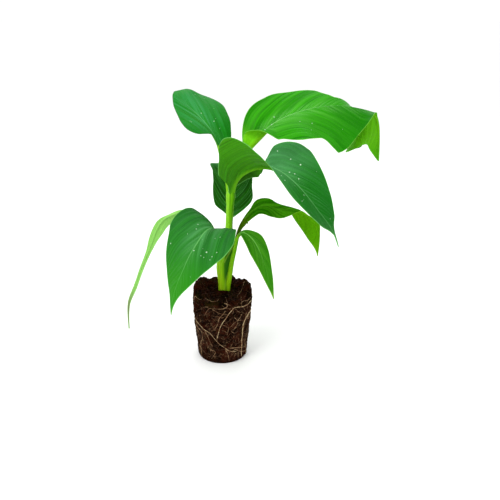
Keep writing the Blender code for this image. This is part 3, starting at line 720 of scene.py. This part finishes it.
def leaf_look(
    name, upper, shade, bloom_and_sheen, lower, rib_above, rib_below, margin, tip, fold_shade_strength, base=None, base_end=0.2,
    late=0.0, late_to=None, late_right=0.0, late_stripes_and_fold_shade=0.6, tip_from=0.86, tip_full=1.0, gloss=0.03,
    bloom_and_sheen_at=(0.3, 0.7, 1.0, 0.25), bloom_and_sheen_far=0.2, bloom_and_sheen_least=0.0, grain=0.45, under_fold_shade=0.6,
    painted_shade_below_left=0.0, rib_from=(0.02, 1.0), rib_to=(0.85, 0.4),
):
    """Leaf skin: stripes between parallel vein lines, a soft bluish bloom that is partly painted sheen,
    painted shade in the pleat valleys, a light midrib and a thin light margin.
    """
    look = Look(name, 0.42, gloss)
    fit, times = look.fit, look.times
    vein, away, station, left, rib = map(look.read, ("vein", "away", "station", "left", "rib"))
    slow = times(away, 0.03)
    stripes = look.noise(look.vector(times(vein, 0.34), slow), 1.0, 3.0, 0.6)
    lines = look.noise(look.vector(times(vein, 1.5), slow), 1.0, 2.0, 0.7)
    cloud = look.noise(look.vector(times(vein, 0.07), slow), 1.0)
    soft = fit(station, 0.12, 0.6, 1.0, late_stripes_and_fold_shade)
    # Painted shade in the valleys of the pleats, which the geometry also has
    painted_fold_shade = times(fit(look.read("pleat"), -1.0, 0.5, 1.0, 0.0), times(soft, fold_shade_strength))
    late_half = times(fit(left, 0.2, 0.8, 1.0, 0.0), fit(station, 0.35, 0.55, 0.0, late_right))
    near = times(fit(away, 1.0, 24.0, 0.8, bloom_and_sheen_far), fit(station, *bloom_and_sheen_at))
    beside = times(fit(away, 1.0, 11.0, 0.75, 0.0), fit(station, 0.1, 0.8, 1.0, 0.3))
    above = look.layers(
        upper,
        (times(fit(stripes, 0.68, 0.3), soft), shade),
        # Painted shade in the pleat valleys
        (times(painted_fold_shade, 0.8), shade),
        (fit(station, 0.35, 0.85, 0.0, late), late_to or shade),
        (late_half, shade),
        # Bluish colour that is partly bloom and partly painted sheen
        (times(fit(cloud, 0.38, 0.66, bloom_and_sheen_least), near), bloom_and_sheen),
        (fit(lines, 0.54, 0.7, 0.0, 0.45), bloom_and_sheen),
        (times(fit(lines, 0.5, 0.66), beside), rib_above),
    )
    below = look.layers(
        linear(lower, 1 - 0.65 * grain),
        (fit(stripes, 0.35, 0.65), lower),
        # Painted shade in the pleat valleys of the underside
        (times(painted_fold_shade, under_fold_shade), linear(lower, 0.45)),
        (fit(lines, 0.52, 0.7, 0.0, grain), rib_below),
        # Painted shade on the left half's underside near the base, where it turns down under the midrib
        (times(fit(left, 0.2, 0.8), fit(station, 0.2, 0.31, painted_shade_below_left, 0.0)), linear(lower, 0.2)),
    )
    if base:
        below = look.mix(fit(station, 0.04, base_end, 1.0, 0.0), below, base)
        above = look.mix(fit(station, 0.0, 0.1, 0.6, 0.0), above, base)
    fading = times(fit(rib, 0.1, 0.9), fit(station, 0.15, rib_to[0], 0.95, rib_to[1]))
    fading = times(fading, fit(station, 0.0, *rib_from, 1.0))
    above = look.mix(fading, above, rib_above)
    below = look.mix(times(rib, fit(station, 0.04, 0.5, 0.95, 0.4)), below, rib_below)
    skin = look.layers(
        look.mix(look.read("side"), above, below),
        (fit(station, tip_from, tip_full, 0.0, 0.95), tip),
        (fit(look.read("rim"), 0.15, 0.75, 0.85, 0.0), margin),
    )
    look.set("Roughness", fit(stripes, 0.3, 0.7, 0.5, 0.38))
    return look.finish(skin, look.calc("ADD", times(lines, 0.6), times(stripes, 0.8)), 0.35)


def stalk_look(name, body, streak, gloss=0.03):
    look = Look(name, 0.42, gloss)
    along = look.vector(look.times(look.read("away"), 2.4), look.times(look.read("run"), 0.05))
    streaks = look.noise(along, 1.0)
    return look.finish(look.mix(look.fit(streaks, 0.35, 0.65), body, streak), streaks, 0.15)


def stem_look(
    name, turned, high, low, painted_lit_high, painted_lit_low, painted_shade_high, painted_shade_low, streak, edging, foot, shaded
):
    """Pseudostem: fine lengthwise streaks, yellower towards the soil and stained where it meets it. Painted
    light brightens its left side, painted shade darkens its right side, and painted shade lies on the wing
    towards the side shoot and along the arched leaf's seam.
    """
    look = Look(name, 0.4, 0.04)
    fit, times = look.fit, look.times
    height, turn = look.read("height"), look.read("turn")
    streaks = look.noise(look.vector(times(turn, 7.0), times(height, 0.035)), 1.0, 3.0)
    up = fit(height, 76.0, 128.0)
    from_painted_lit, from_painted_shade = (look.calc("ABSOLUTE", look.calc("ADD", turn, way)) for way in (1.1, -1.35))
    stain = look.calc("ADD", height, times(look.noise(look.place(), 0.8, 3.0), 4.0))
    skin = look.layers(
        # Painted light on the left side and painted shade on the right side, by the angle round the stem
        look.mix(up, low, high),
        (fit(from_painted_lit, 0.5, 1.3, turned, 0.0), look.mix(up, painted_lit_low, painted_lit_high)),
        (fit(from_painted_shade, 0.3, 1.5, turned, 0.0), look.mix(up, painted_shade_low, painted_shade_high)),
        (fit(streaks, 0.4, 0.72, 0.0, 0.75), streak),
        # Painted shade on the wing and along the seam
        (look.read("painted_wing_shade"), shaded),
        (times(look.read("edge"), 0.4), edging),
        (fit(stain, 73.2, 77.0, 0.85, 0.0), foot),
    )
    return look.finish(skin, streaks, 0.2)


def soil_look(name):
    """Moist coir: red-brown on the crumbs, mossy at the shoulder, and near black in the hollows, which is
    painted shade.
    """
    look = Look(name, 0.92, 0.0)
    place, pit = look.place(), look.read("pit")
    crumbs = look.noise(place, 0.55, 5.0, 0.65)
    patches = look.noise(place, 0.09, 3.0)
    moss = look.times(look.fit(look.read("shoulder"), 0.2, 1.0), look.fit(patches, 0.34, 0.54, 0.7, 0.0))
    skin = look.layers(
        (9, 5, 3),
        (look.fit(crumbs, 0.36, 0.62), (40, 20, 10)),
        (look.fit(patches, 0.42, 0.62, 0.0, 0.75), (54, 21, 11)),
        (look.fit(look.noise(place, 0.16), 0.5, 0.68, 0.0, 0.75), (12, 7, 4)),
        (moss, (44, 34, 10)),
        # Painted shade: near black in the hollows
        (look.fit(pit, -0.9, 0.2, 0.85, 0.0), (8, 5, 3)),
        (look.fit(pit, 0.3, 1.1, 0.0, 0.55), (72, 40, 21)),
    )
    return look.finish(skin, crumbs, 1.1)


def root_look(name, pale, tan):
    look = Look(name, 0.6, 0.12)
    patches = look.noise(look.place(), 0.28, 3.0, 0.6)
    skin = look.mix(look.fit(patches, 0.4, 0.6), tan, pale)
    return look.finish(skin, look.noise(look.place(), 2.2), 0.25)


def withered_look(name):
    look = Look(name, 0.8)
    patches = look.noise(look.place(), 0.9, 3.0)
    skin = look.mix(look.fit(patches, 0.4, 0.6), (92, 78, 24), (140, 140, 50))
    return look.finish(skin, look.noise(look.place(), 3.0), 0.2)


def drop_look(name):
    # An opaque pale colour, a painted highlight that stands in for the clear water's reflections
    look = Look(name, 0.08, 0.6)
    return look.finish(look.mix(look.noise(look.place(), 0.4), (160, 206, 160), (216, 238, 212)))


# Leaves and their petioles


def build_leaves():
    """Every leaf as a blade, and a petiole that runs into the stem. Returns the upper surfaces."""
    looks = {name: leaf_look("leaf_" + name, **colours) for name, colours in LEAF_LOOKS.items()}
    stalk = stalk_look("petiole", *STALK_COLOURS)
    dark_shaded_stalk = stalk_look("petiole_dark_shaded", *DARK_SHADED_STALK_COLOURS, gloss=0.0)
    surfaces = {}
    for index, (name, spec) in enumerate(LEAVES.items()):
        leaf = Leaf(spec)
        seed = 10 * index
        columns = max(10, int(spec["half_width"] / COLUMN_STEP))
        stations = np.linspace(0, 1, int(leaf.length / ROW_STEP) + 1)
        points, normals, solid, faces, values = leaf_solid(leaf, stations, columns, seed)
        surfaces[name] = points, normals
        blade = make_mesh(name + "_leaf", solid, faces, looks[spec["look"]], values, SHARP_ANGLE)
        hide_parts(*spec["nodes"])
        if not spec["petiole"]:
            continue
        first = -leaf.at[leaf.start] / leaf.length
        rows = max(6, int(-first * leaf.length / STALK_STEP))
        stations = np.linspace(first, STALK_OVERLAP, rows)
        _, _, solid, faces, values = leaf_solid(leaf, stations, STALK_COLUMNS, seed, relief=False)
        # The middle right petiole is darker, partly its own colour and partly painted shade between the
        # stems
        skin = dark_shaded_stalk if name == "middle_right" else stalk
        petiole = make_mesh(name + "_stalk", solid, faces, skin, values, SHARP_ANGLE)
        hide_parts(name + "_petiole")
    return surfaces


# Stems


def apart(angle, facing):
    """How far each angle is from the one faced, which is in degrees."""
    return np.abs((angle - math.radians(facing) + math.pi) % (2 * math.pi) - math.pi)


def build_stem(name, keys, sheaths, look, seed):
    keys = np.array(keys, float)
    chords = chord_lengths(keys[:, :3])
    rows = natural_cubic(chords, keys, np.linspace(0, chords[-1], int(chords[-1] / STEM_STEP)))
    along = unit(np.gradient(rows[:, :3], axis=0))
    right = carried(along, 0, (1, 0, 0))
    back = np.cross(along, right)
    turn = np.linspace(-math.pi, math.pi, STEM_SIDES, endpoint=False)
    height = rows[:, 2][:, None] + 0 * turn
    angle = turn + 0 * height
    ribs = RIB_HEIGHT * np.sin(STEM_RIBS * angle + 1.5 * wobble(height / 9, seed))
    dents = DENT_DEPTH * wobble(angle * 1.6 + 100, seed + 1) * wobble(height / 14 + 50, seed + 2)
    radius = rows[:, 3][:, None] + ribs + dents
    edge = painted_wing_shade = np.zeros_like(radius)
    for facing, top, closing in sheaths:
        cover = np.radians(SHEATH_HALF_ANGLE + closing * np.clip(top - height, 0, None))
        inside = cover - apart(angle, facing)
        below = eased((top + SHEATH_FADE - height) / SHEATH_FADE)
        radius = radius + SHEATH_STEP * (eased(inside * radius / SHEATH_EDGE) - 0.75) * below
        edge = np.maximum(edge, bell(inside * radius / SHEATH_LINE) * (cover < math.pi) * below)
    if sheaths:
        web = eased((WEB_TOP - height) / WEB_FADE) * bell(apart(angle, WEB_FACING) / WEB_SPREAD)
        from_wing = apart(angle, WING_FACING)
        reach = keyed(WING, np.clip(height[:, 0], WING[0][0], WING[0][-1]))[:, None]
        radius = radius + WEB_REACH * web + reach * bell(from_wing / WING_SPREAD)
        grooved = STRAND_GROOVE * eased((height - STRAND_FOOT) / STRAND_RUN)
        for facing in STRAND_FACINGS:
            radius = radius - grooved * bell(apart(angle, facing) / STRAND_SPREAD)
        from_seam = apart(angle - SEAM_TURN * (SEAM_TOP - height), SEAM_FACING)
        seam = eased((height - SEAM_FOOT) / (SEAM_TOP - SEAM_FOOT)) * bell(from_seam / SEAM_SPREAD)
        # Painted shade on the wing towards the side shoot and along the seam; only the colour reads it
        painted_wing_shade = eased(reach / 2) * eased((WING_SHADE_EDGE - from_wing) / 0.7)
        painted_wing_shade = np.maximum(painted_wing_shade, SEAM_SHADE * seam)
    flat = right[:, None] * np.sin(angle)[..., None] - back[:, None] * np.cos(angle)[..., None]
    points = (rows[:, None, :3] + flat * radius[..., None]).reshape(-1, 3)
    values = {"height": height, "turn": angle, "edge": edge, "painted_wing_shade": painted_wing_shade}
    piece = make_mesh(name, points, tube_faces(len(rows), STEM_SIDES), look, values, SHARP_ANGLE)
    return piece


# Root ball

BALL_HEIGHT = 71.2
BALL_RADIUS = 28  # mean radius of the side, for distances round it
# Radius and height, from the middle of the top down to the edge of the foot
BALL_PROFILE = [
    (0, 71.2), (5, 71.2), (10, 71.2), (16, 71.0), (22, 70.4), (27, 69.6), (29.8, 67.4), (30.5, 62),
    (29.9, 52), (29, 42), (28, 32), (27, 22), (26, 12), (25.6, 5), (25.2, 1.6), (23.8, 0),
]
TOP_OUTLINE = BALL_PROFILE[:8]
SIDE_OUTLINE = BALL_PROFILE[-2:2:-1]
BALL_SIDES = 330
BALL_STEP = 0.5
# Height, and how far the ball stands towards +X there
BALL_LEAN = [(0, -1.7), (20, -1.6), (50, -1.3), (62, -0.7), (71, -0.6)]
BACK_RIM = 4.2  # how much higher the soil lies along the back of the top
# Angle in degrees from the front towards +X, distance from the axis, height and spread
CLODS = [
    (10, 6, 2.2, 6.5), (-118, 24, 6.5, 8), (-90, 27, 8.5, 7), (-70, 28, 4, 5), (-158, 25, 2.5, 5),
    (164, 26, 4.5, 4), (140, 27, 2.0, 4), (122, 26, 4.0, 5), (98, 27, 5.0, 6), (74, 28.5, 3.5, 5),
]


def clipped(value):
    return min(1, max(0, value))


def toward(angle):
    """The way that an angle in degrees from the front towards +X points."""
    return math.sin(math.radians(angle)), -math.cos(math.radians(angle))


def ball_profile():
    """The turned outline at even steps, with the direction that faces out of it."""
    keys = np.array(BALL_PROFILE, float)
    chords = chord_lengths(keys)
    rows = read_rows(chords, keys, np.linspace(0, chords[-1], int(chords[-1] / BALL_STEP)))
    tangent = unit(np.gradient(softened(rows, 6), axis=0))
    return rows, np.stack([-tangent[:, 1], tangent[:, 0]], axis=-1)


def crumbs(x, y, z):
    """Height of the pressed coir over the turned shape at one place: lumps, clods and fine grain."""
    place = Vector((x, y, z))
    lumps = 0.9 * noise.noise(place * 0.11)
    clods = 0.75 * noise.fractal(place * 0.34, 0.8, 2.1, 3)
    grain = 0.3 * noise.turbulence(place * 0.95, 2, False) - 0.22
    return lumps + clods + grain


def clod_lift(x, y, z):
    lift = BACK_RIM * float(eased((y + 8) / 20) * eased((math.hypot(x, y) - 9) / 12))
    for angle, away, height, spread in CLODS:
        east, north = toward(angle)
        lift += height * math.exp(-((x - away * east) ** 2 + (y - away * north) ** 2) / spread**2)
    return lift * clipped((z - 60) / 8)


def soil_place(x, y, z, out_x, out_y, out_z):
    """A place of the turned shape moved out by its crumbs, and how far that was."""
    bare = clipped((math.hypot(x, y) - 6) / 6) if z > 68 else 1
    push = crumbs(x, y, z) * min(1, z / 5) * (0.35 + 0.65 * bare)
    if z > 66:
        push = push * 1.35
    lean = float(np.interp(z, *zip(*BALL_LEAN)))
    place = (x + lean + out_x * push, y + out_y * push, max(0.0, z + out_z * push + clod_lift(x, y, z)))
    return place, push


def build_ball(look):
    rows, out = ball_profile()
    points, pits, shoulders = [], [], []
    for (radius, z), (out_r, out_z) in zip(rows[1:], out[1:]):
        for angle in np.linspace(0, 2 * math.pi, BALL_SIDES, endpoint=False):
            sin, cos = math.sin(angle), -math.cos(angle)
            place, push = soil_place(radius * sin, radius * cos, z, out_r * sin, out_r * cos, out_z)
            points.append(place)
            pits.append(push)
            shoulders.append(clipped((z - 58) / 10))
    top, bottom = len(points), len(points) + 1
    faces = ring_faces(len(rows) - 1, BALL_SIDES)[:, [0, 3, 2, 1]].tolist()
    for j in range(BALL_SIDES):
        k = (j + 1) % BALL_SIDES
        faces.append([top, j, k])
        faces.append([bottom, top - BALL_SIDES + k, top - BALL_SIDES + j])
    points += [(BALL_LEAN[-1][1], 0, BALL_HEIGHT), (BALL_LEAN[0][1], 0, 0)]
    values = {"pit": pits + [0, 0], "shoulder": shoulders + [1, 0]}
    piece = make_mesh("root_ball_soil", points, faces, look, values)
    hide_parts("root_ball")


# Roots on the side: radius, then the angle in degrees and the height of each bend
MAIN_ROOTS = [
    (0.32, (80, 62, 43, 24, 17, 7, 0, -6, -10), (62, 63, 63, 64, 61, 52, 46, 36, 28)),
    (0.27, (-72, -59, -47, -33, -21, -10, -5, 8), (45, 43, 40, 37, 34, 27, 24, 19)),
    (0.22, (8, 15, 23, 31, 40), (19, 16, 14, 13, 13)),
    (0.45, (78, 71, 61, 54, 51, 48, 49, 49, 53), (54, 52, 51, 48, 44, 35, 24, 14, 3)),
]
SMALL_ROOTS = [
    (0.28, (8, 11, 14, 16, 18), (19, 15, 12, 7, 3)),
    (0.27, (73, 56, 44, 38), (65, 67, 68, 67)),
    (0.35, (-66, -55, -48, -44, -45, -51, -61), (38, 35, 34, 30, 26, 21, 13)),
    (0.36, (-55, -55, -57, -57), (16, 11, 6, 2)),
    (0.23, (-36, -31, -28, -26, -22, -19), (36, 32, 29, 26, 22, 20)),
    (0.22, (-34, -31, -32), (24, 21, 17)),
    (0.23, (5, 12, 18), (69, 68, 67)),
    (0.33, (9, 12, 8, 2, -6, -18, -23), (69, 67, 65, 64, 64, 64, 64)),
    (0.35, (-23, -26, -29, -32, -35), (64, 62, 60, 57, 54)),
    (0.22, (-34, -29, -25), (64, 65, 65)),
    (0.27, (-17, -12, -7, 0, 5, 12), (63, 62, 60, 59, 58, 58)),
    (0.28, (7, 4, -3, -6, -8, -12, -15), (62, 59, 55, 49, 45, 42, 39)),
    (0.2, (4, 8, 12), (46, 45, 44)),
    (0.2, (25, 31, 35, 38), (54, 50, 47, 42)),
    (0.23, (42, 40, 33, 26, 21, 17), (55, 52, 49, 47, 45, 43)),
    (0.23, (34, 31, 27, 24), (46, 43, 41, 38)),
    (0.19, (21, 27, 32, 35), (38, 35, 35, 37)),
    (0.19, (15, 13, 12), (42, 37, 34)),
    (0.2, (27, 31, 36, 41), (63, 60, 58, 57)),
    (0.2, (24, 22, 21), (63, 60, 58)),
    (0.33, (14, 23, 33, 42, 56, 72), (19, 18, 17, 16, 14, 12)),
    (0.33, (23, 33, 42, 54, 76), (13, 15, 12, 9, 7)),
    (0.31, (-27, -20, -13, -16, -21, -25), (15, 15, 14, 11, 7, 5)),
    (0.35, (64, 67, 71, 71), (16, 11, 6, 3)),
    (0.22, (33, 30, 27), (11, 8, 5)),
    (0.22, (41, 40, 42), (11, 8, 4)),
]
# Roots on the top: radius, then x and y of each bend
TOP_ROOTS = [
    (0.31, (-29, -26, -23, -20), (-9, -14, -17, -19)),
    (0.31, (-17, -15, -12, -9, -6, -3), (-18, -20, -22, -25, -25, -22)),
    (0.28, (3, 4, 5, 6), (-16, -19, -24, -27)),
    (0.28, (22, 20, 18, 16, 15), (9, 1, -5, -11, -16)),
    (0.2, (19, 19, 20), (-15, -20, -23)),
]
ROOT_SIDES = 8
ROOT_STEP = 0.9
THREAD_STEP = 1.2
WANDER_STEP = 4
BACK_ROOTS = 26
FIBRE_SHARES = (0, 0.25, 0.5, 0.75, 1)
# How many threads and fibres there are, and the ranges that their numbers are drawn from: angle,
# height, heading, length and, for a fibre, rise. A fibre on the top has turn and distance squared
# for its angle and height.
THREADS = 460, ((-180, 180), (5, 67), (0, 360), (9, 30))
SIDE_FIBRES = 1500, ((-180, 180), (2, 68), (0, 2 * math.pi), (2.5, 7), (0.0, 0.5))
TOP_FIBRES = 500, ((0, 2 * math.pi), (0, 1), (0, 2 * math.pi), (2, 7), (0.1, 0.9))


class Bundle:
    """Tubes gathered into one mesh."""

    def __init__(self):
        self.points, self.faces, self.total = [], [], 0

    def add(self, line, radii, sides):
        line = np.asarray(line, float)
        along = unit(np.gradient(line, axis=0))
        one = carried(along, 0, np.cross(along[0], (0.3, 0.5, 0.8)))
        two = np.cross(along, one)
        turn = np.linspace(0, 2 * math.pi, sides, endpoint=False)[:, None]
        ring = one[:, None] * np.cos(turn) + two[:, None] * np.sin(turn)
        self.points.append((line[:, None] + ring * np.asarray(radii)[:, None, None]).reshape(-1, 3))
        self.faces += tube_faces(len(line), sides, self.total)
        self.total += len(line) * sides

    def taper(self, line, first, last, sides=ROOT_SIDES):
        self.add(line, np.linspace(first, last, len(line)), sides)

    def piece(self, name, look, slot):
        made = make_mesh(name, np.concatenate(self.points), self.faces, look)


def on_ball(angle, height, lift):
    """A place on the crumbly side, this far out of it."""
    heights, radii = [z for _, z in SIDE_OUTLINE], [r for r, _ in SIDE_OUTLINE]
    radius = float(np.interp(height, heights, radii))
    sin, cos = toward(angle)
    (x, y, z), _ = soil_place(radius * sin, radius * cos, height, sin, cos, 0)
    return x + sin * lift, y + cos * lift, max(z, 0.3)


def on_top(x, y, lift):
    """A place on the crumbly top, this far above it."""
    height = float(np.interp(math.hypot(x, y), *zip(*TOP_OUTLINE)))
    (x, y, z), _ = soil_place(x, y, height, 0, 0, 1)
    return x, y, z + lift


def root_line(bends, step, lift):
    """A root's path over the side as angles and heights, and its places on the crumbs."""
    bends = np.array(bends, float)
    around = np.radians(bends[:, 0]) * BALL_RADIUS
    chords = chord_lengths(np.stack([around, bends[:, 1]], axis=-1))
    count = max(4, int(chords[-1] / step))
    path = natural_cubic(chords, bends, np.linspace(0, chords[-1], count))
    return path, softened(np.array([on_ball(a, h, lift) for a, h in path]), 3)


def wandering(random, angle, height, heading, length, bend):
    """Bends of a root that wanders over the side from a place. Its heading is 0 along +angle, -90 down."""
    bends = [(angle, height)]
    for _ in range(max(2, int(length / WANDER_STEP))):
        heading += random.normal(0, bend)
        angle += math.degrees(WANDER_STEP * math.cos(math.radians(heading)) / BALL_RADIUS)
        height += WANDER_STEP * math.sin(math.radians(heading))
        if not 3 < height < 69:
            break
        bends.append((angle, height))
    return bends


def drawn(random, kind):
    """The numbers of each thread or fibre in turn."""
    count, ranges = kind
    for _ in range(count):
        yield [random.uniform(low, high) for low, high in ranges]


def build_roots():
    random = np.random.default_rng(7)
    thick, thin, threads = Bundle(), Bundle(), Bundle()
    for radius, angles, heights in MAIN_ROOTS:
        path, line = root_line(list(zip(angles, heights)), ROOT_STEP, radius * 0.3 + 0.15)
        t = np.linspace(0, 1, len(line))
        radii = radius * (1 - 0.35 * t) * (1 + 0.12 * wobble(t * 9, int(radius * 100)))
        radii[-3:] *= (0.8, 0.5, 0.15)
        thick.add(line, radii, 10)
        for angle, height in path[4:-4:9]:
            heading = -90 + random.choice((-1, 1)) * random.uniform(20, 80)
            found = wandering(random, angle, height, heading, random.uniform(7, 18), 22)
            if len(found) > 3:
                threads.taper(root_line(found, 1.0, 0.08)[1], 0.26, 0.08, 5)
    for radius, angles, heights in SMALL_ROOTS:
        _, line = root_line(list(zip(angles, heights)), ROOT_STEP, radius * 0.3 + 0.12)
        thin.taper(line, radius, radius * 0.6)
    for radius, xs, ys in TOP_ROOTS:
        flat, _ = smooth_line([(x, y, 0) for x, y in zip(xs, ys)], 24)
        line = softened(np.array([on_top(x, y, radius * 0.3 + 0.12) for x, y, _ in flat]), 3)
        thin.taper(line, radius, radius * 0.6)
    for index in range(BACK_ROOTS):
        angle = 88 + index * 190 / BACK_ROOTS + random.uniform(-6, 6)
        height = random.uniform(22, 66)
        heading = random.choice((-60, -110, -20, -160, -85))
        found = wandering(random, angle, height, heading, random.uniform(25, 60), 16)
        if len(found) > 4:
            radius = random.uniform(0.25, 0.55)
            _, line = root_line(found, ROOT_STEP, radius * 0.3)
            (thick if radius > 0.44 else thin).taper(line, radius, radius * 0.4)
    for angle, height, heading, length in drawn(random, THREADS):
        found = wandering(random, angle, height, heading, length, 20)
        if len(found) > 3:
            threads.taper(root_line(found, THREAD_STEP, 0.05)[1], random.uniform(0.12, 0.24), 0.06, 4)
    thick.piece("roots_thick", root_look("root_cream", (198, 176, 134), (150, 114, 80)), "soil")
    thin.piece("roots_thin", root_look("root_tan", (160, 130, 96), (96, 66, 44)), "soil")
    threads.piece("root_threads", root_look("root_thread", (128, 98, 68), (62, 40, 26)), "soil")


def build_fibres():
    """Coir fibres that lie on the ball and stand a little out of it."""
    random = np.random.default_rng(11)
    fibres = Bundle()
    for angle, height, heading, length, rise in drawn(random, SIDE_FIBRES):
        line = []
        for t in FIBRE_SHARES:
            a = angle + math.degrees(length * t * math.cos(heading + 0.8 * t) / BALL_RADIUS)
            h = min(68, max(1.5, height + length * t * math.sin(heading + 0.8 * t)))
            line.append(on_ball(a, h, 0.02 + rise * math.sin(math.pi * t)))
        fibres.add(line, (0.05, 0.085, 0.09, 0.08, 0.03), 3)
    for turn, square, heading, length, rise in drawn(random, TOP_FIBRES):
        away = 8 + 20 * math.sqrt(square)
        line = []
        for t in FIBRE_SHARES:
            x = away * math.sin(turn) + length * (t - 0.5) * math.cos(heading)
            y = -away * math.cos(turn) + length * (t - 0.5) * math.sin(heading)
            line.append(on_top(x, y, rise * math.sin(math.pi * t)))
        fibres.add(line, (0.05, 0.1, 0.11, 0.09, 0.03), 3)
    fibres.piece("coir_fibres", root_look("coir_fibre", (84, 50, 32), (40, 22, 14)), "soil")


def build_stub(look):
    """Withered tip of an old sheath, between the side stem's top and the middle leaf."""
    t = np.linspace(0, 1, 14)
    line = np.array((13.2, -2.6, 125.5)) + t[:, None] * np.array((0.6, 1.2, 6.0))
    line[:, 0] += 0.8 * np.sin(3 * t)
    bundle = Bundle()
    bundle.add(line, 1.15 * (1 - 0.75 * t) * (1 + 0.15 * np.sin(17 * t)), 10)
    bundle.piece("withered_sheath", look, "stem")


# Dew, by pixel of the photograph: x, y and radius
DROPS = {
    "arched": [
        (291, 159, 0.9), (301, 164, 1.3), (290, 171, 1.0), (295, 173, 0.9), (299, 178, 1.0),
        (282, 174.5, 0.7), (286, 179.6, 0.9), (277, 151.5, 0.9), (305, 194, 0.7), (303, 200, 0.7),
    ],
    "lower_left": [
        (198, 223, 0.7), (196, 228, 0.7), (169.5, 244, 0.8), (193, 250, 1.0), (205.6, 252, 1.2),
        (200, 255, 0.6), (203, 257, 0.6), (211, 256, 0.7), (216.5, 251.5, 0.7), (209, 259, 0.6),
        (220, 236, 0.6),
    ],
    "upper_right": [
        (274, 116, 0.9), (271, 123.5, 1.1), (266, 128.6, 1.1), (300, 120, 0.6), (313, 122.4, 0.8),
        (311.6, 128.6, 0.6),
    ],
    "upper_left": [
        (202, 112, 0.8), (191, 120, 0.6), (214, 120, 0.8),
    ],
}
DROP_SHRINK = 0.6
DROP_HEIGHT = 0.55
EXTRA_DROPS = 6  # on each leaf that has any, where it faces up
EXTRA_ON = ("arched", "lower_left", "upper_right", "upper_left", "rear")


def camera_axes():
    tilt = CAMERA_ELEVATION
    ahead = np.array((0, math.cos(tilt), -math.sin(tilt)))
    up = np.array((0, math.sin(tilt), math.cos(tilt)))
    return CAMERA_TARGET - CAMERA_DISTANCE * ahead, ahead, up


def to_pixels(points):
    eye, ahead, up = camera_axes()
    seen = points - eye
    depth = seen @ ahead
    scale = FOCAL_PIXELS / depth
    x, y = IMAGE_SIDE / 2 + seen[..., 0] * scale, IMAGE_SIDE / 2 - (seen @ up) * scale
    return x, y, depth


def build_drops(surfaces, look):
    """Small domes of water where the photograph shows them, and a few more over the unseen leaves."""
    dome = bmesh.new()
    bmesh.ops.create_uvsphere(dome, u_segments=14, v_segments=10, radius=1)
    shape = np.array([vertex.co for vertex in dome.verts])
    dome.verts.index_update()
    sides = [[vertex.index for vertex in face.verts] for face in dome.faces]
    dome.free()
    random = np.random.default_rng(3)
    points, faces = [], []

    def add(place, normal, radius):
        side = unit(np.cross(normal, (0.2, 0.9, 0.3)))
        other = np.cross(normal, side)
        base = len(points) * len(shape)
        stretch = random.uniform(0.85, 1.2)
        points.append(
            place
            + radius * stretch * shape[:, :1] * side
            + radius / stretch * shape[:, 1:2] * other
            + radius * DROP_HEIGHT * shape[:, 2:] * normal
        )
        faces.extend([[base + k for k in face] for face in sides])

    for name, drops in DROPS.items():
        grid, normals = surfaces[name]
        grid_x, grid_y, depth = to_pixels(grid)
        for x, y, radius in drops:
            far = np.hypot(grid_x - x, grid_y - y)
            score = np.where(far < 1.5, depth + 0.5 * far, depth + 1000 * far)
            spot = np.unravel_index(np.argmin(score), score.shape)
            add(grid[spot], normals[spot], DROP_SHRINK * radius)
    for name in EXTRA_ON:
        grid, normals = surfaces[name]
        for _ in range(EXTRA_DROPS):
            row = random.integers(int(len(grid) * 0.2), int(len(grid) * 0.85))
            spot = row, random.integers(6, grid.shape[1] - 6)
            if normals[spot][2] > 0.35:
                add(grid[spot], normals[spot], random.uniform(0.18, 0.32))
    drops = make_mesh("dew_drops", np.concatenate(points), faces, look)


# Stage

FLOOR_HALF = 40
LAMPS = [  # name, place, size, power and colour
    ("key", (-0.55, -0.65, 1.0), 0.55, 6.0, (1, 1, 1)),
    ("fill", (0.9, -0.7, 0.5), 0.9, 1.5, (1, 1, 0.98)),
    ("back", (0.1, 0.95, 0.8), 0.8, 3.0, (0.98, 1, 1)),
]
LIT_POINT = Vector((0.02, 0, 0.14))


def build_stage():
    floor = bpy.data.meshes.new("floor")
    corners = [(x * FLOOR_HALF, y * FLOOR_HALF, 0) for x, y in ((-1, -1), (1, -1), (1, 1), (-1, 1))]
    floor.from_pydata(corners, [], [(0, 1, 2, 3)])
    look = Look("floor_white", 0.9, 0.1)
    grain = look.noise(look.node("TexCoord", {}).outputs["Object"], 3.0)
    look.set("Base Color", look.mix(grain, (0.955, 0.955, 0.955, 1), (0.975, 0.975, 0.975, 1)))
    floor.materials.append(look.material)
    ground = place_object("floor", floor)

    scene = bpy.context.scene
    scene.world = bpy.data.worlds.new("studio")
    scene.world.use_nodes = True
    background = scene.world.node_tree.nodes["Background"]
    background.inputs["Color"].default_value = (1, 1, 1, 1)
    background.inputs["Strength"].default_value = 1.05

    for name, place, size, power, colour in LAMPS:
        data = bpy.data.lights.new(name, "AREA")
        data.size = size
        data.energy = power
        data.color = colour
        place_object(name, data, place, (LIT_POINT - Vector(place)).to_track_quat("-Z", "Y").to_euler())

    eye, _, _ = camera_axes()
    data = bpy.data.cameras.new("camera")
    data.sensor_width = SENSOR
    data.lens = SENSOR * FOCAL_PIXELS / IMAGE_SIDE
    data.clip_start = 0.01
    data.clip_end = 50
    scene.camera = place_object("camera", data, eye * MM, (math.pi / 2 - CAMERA_ELEVATION, 0, 0))
    scene.view_settings.view_transform = "Standard"


def build():
    # The second number is how strongly the painted light and shade of the stem's sides show
    main = build_stem("pseudostem", STEM, SHEATHS, stem_look("stem", 0.9, **STEM_COLOURS), 21)
    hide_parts("main_stem")
    side = build_stem("side_shoot_stem", SIDE_STEM, [], stem_look("side_stem", 0.4, **STEM_COLOURS), 31)
    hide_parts("side_stem")
    surfaces = build_leaves()
    build_ball(soil_look("soil"))
    build_roots()
    build_fibres()
    build_stub(withered_look("withered"))
    build_drops(surfaces, drop_look("dew"))
    build_stage()


build()
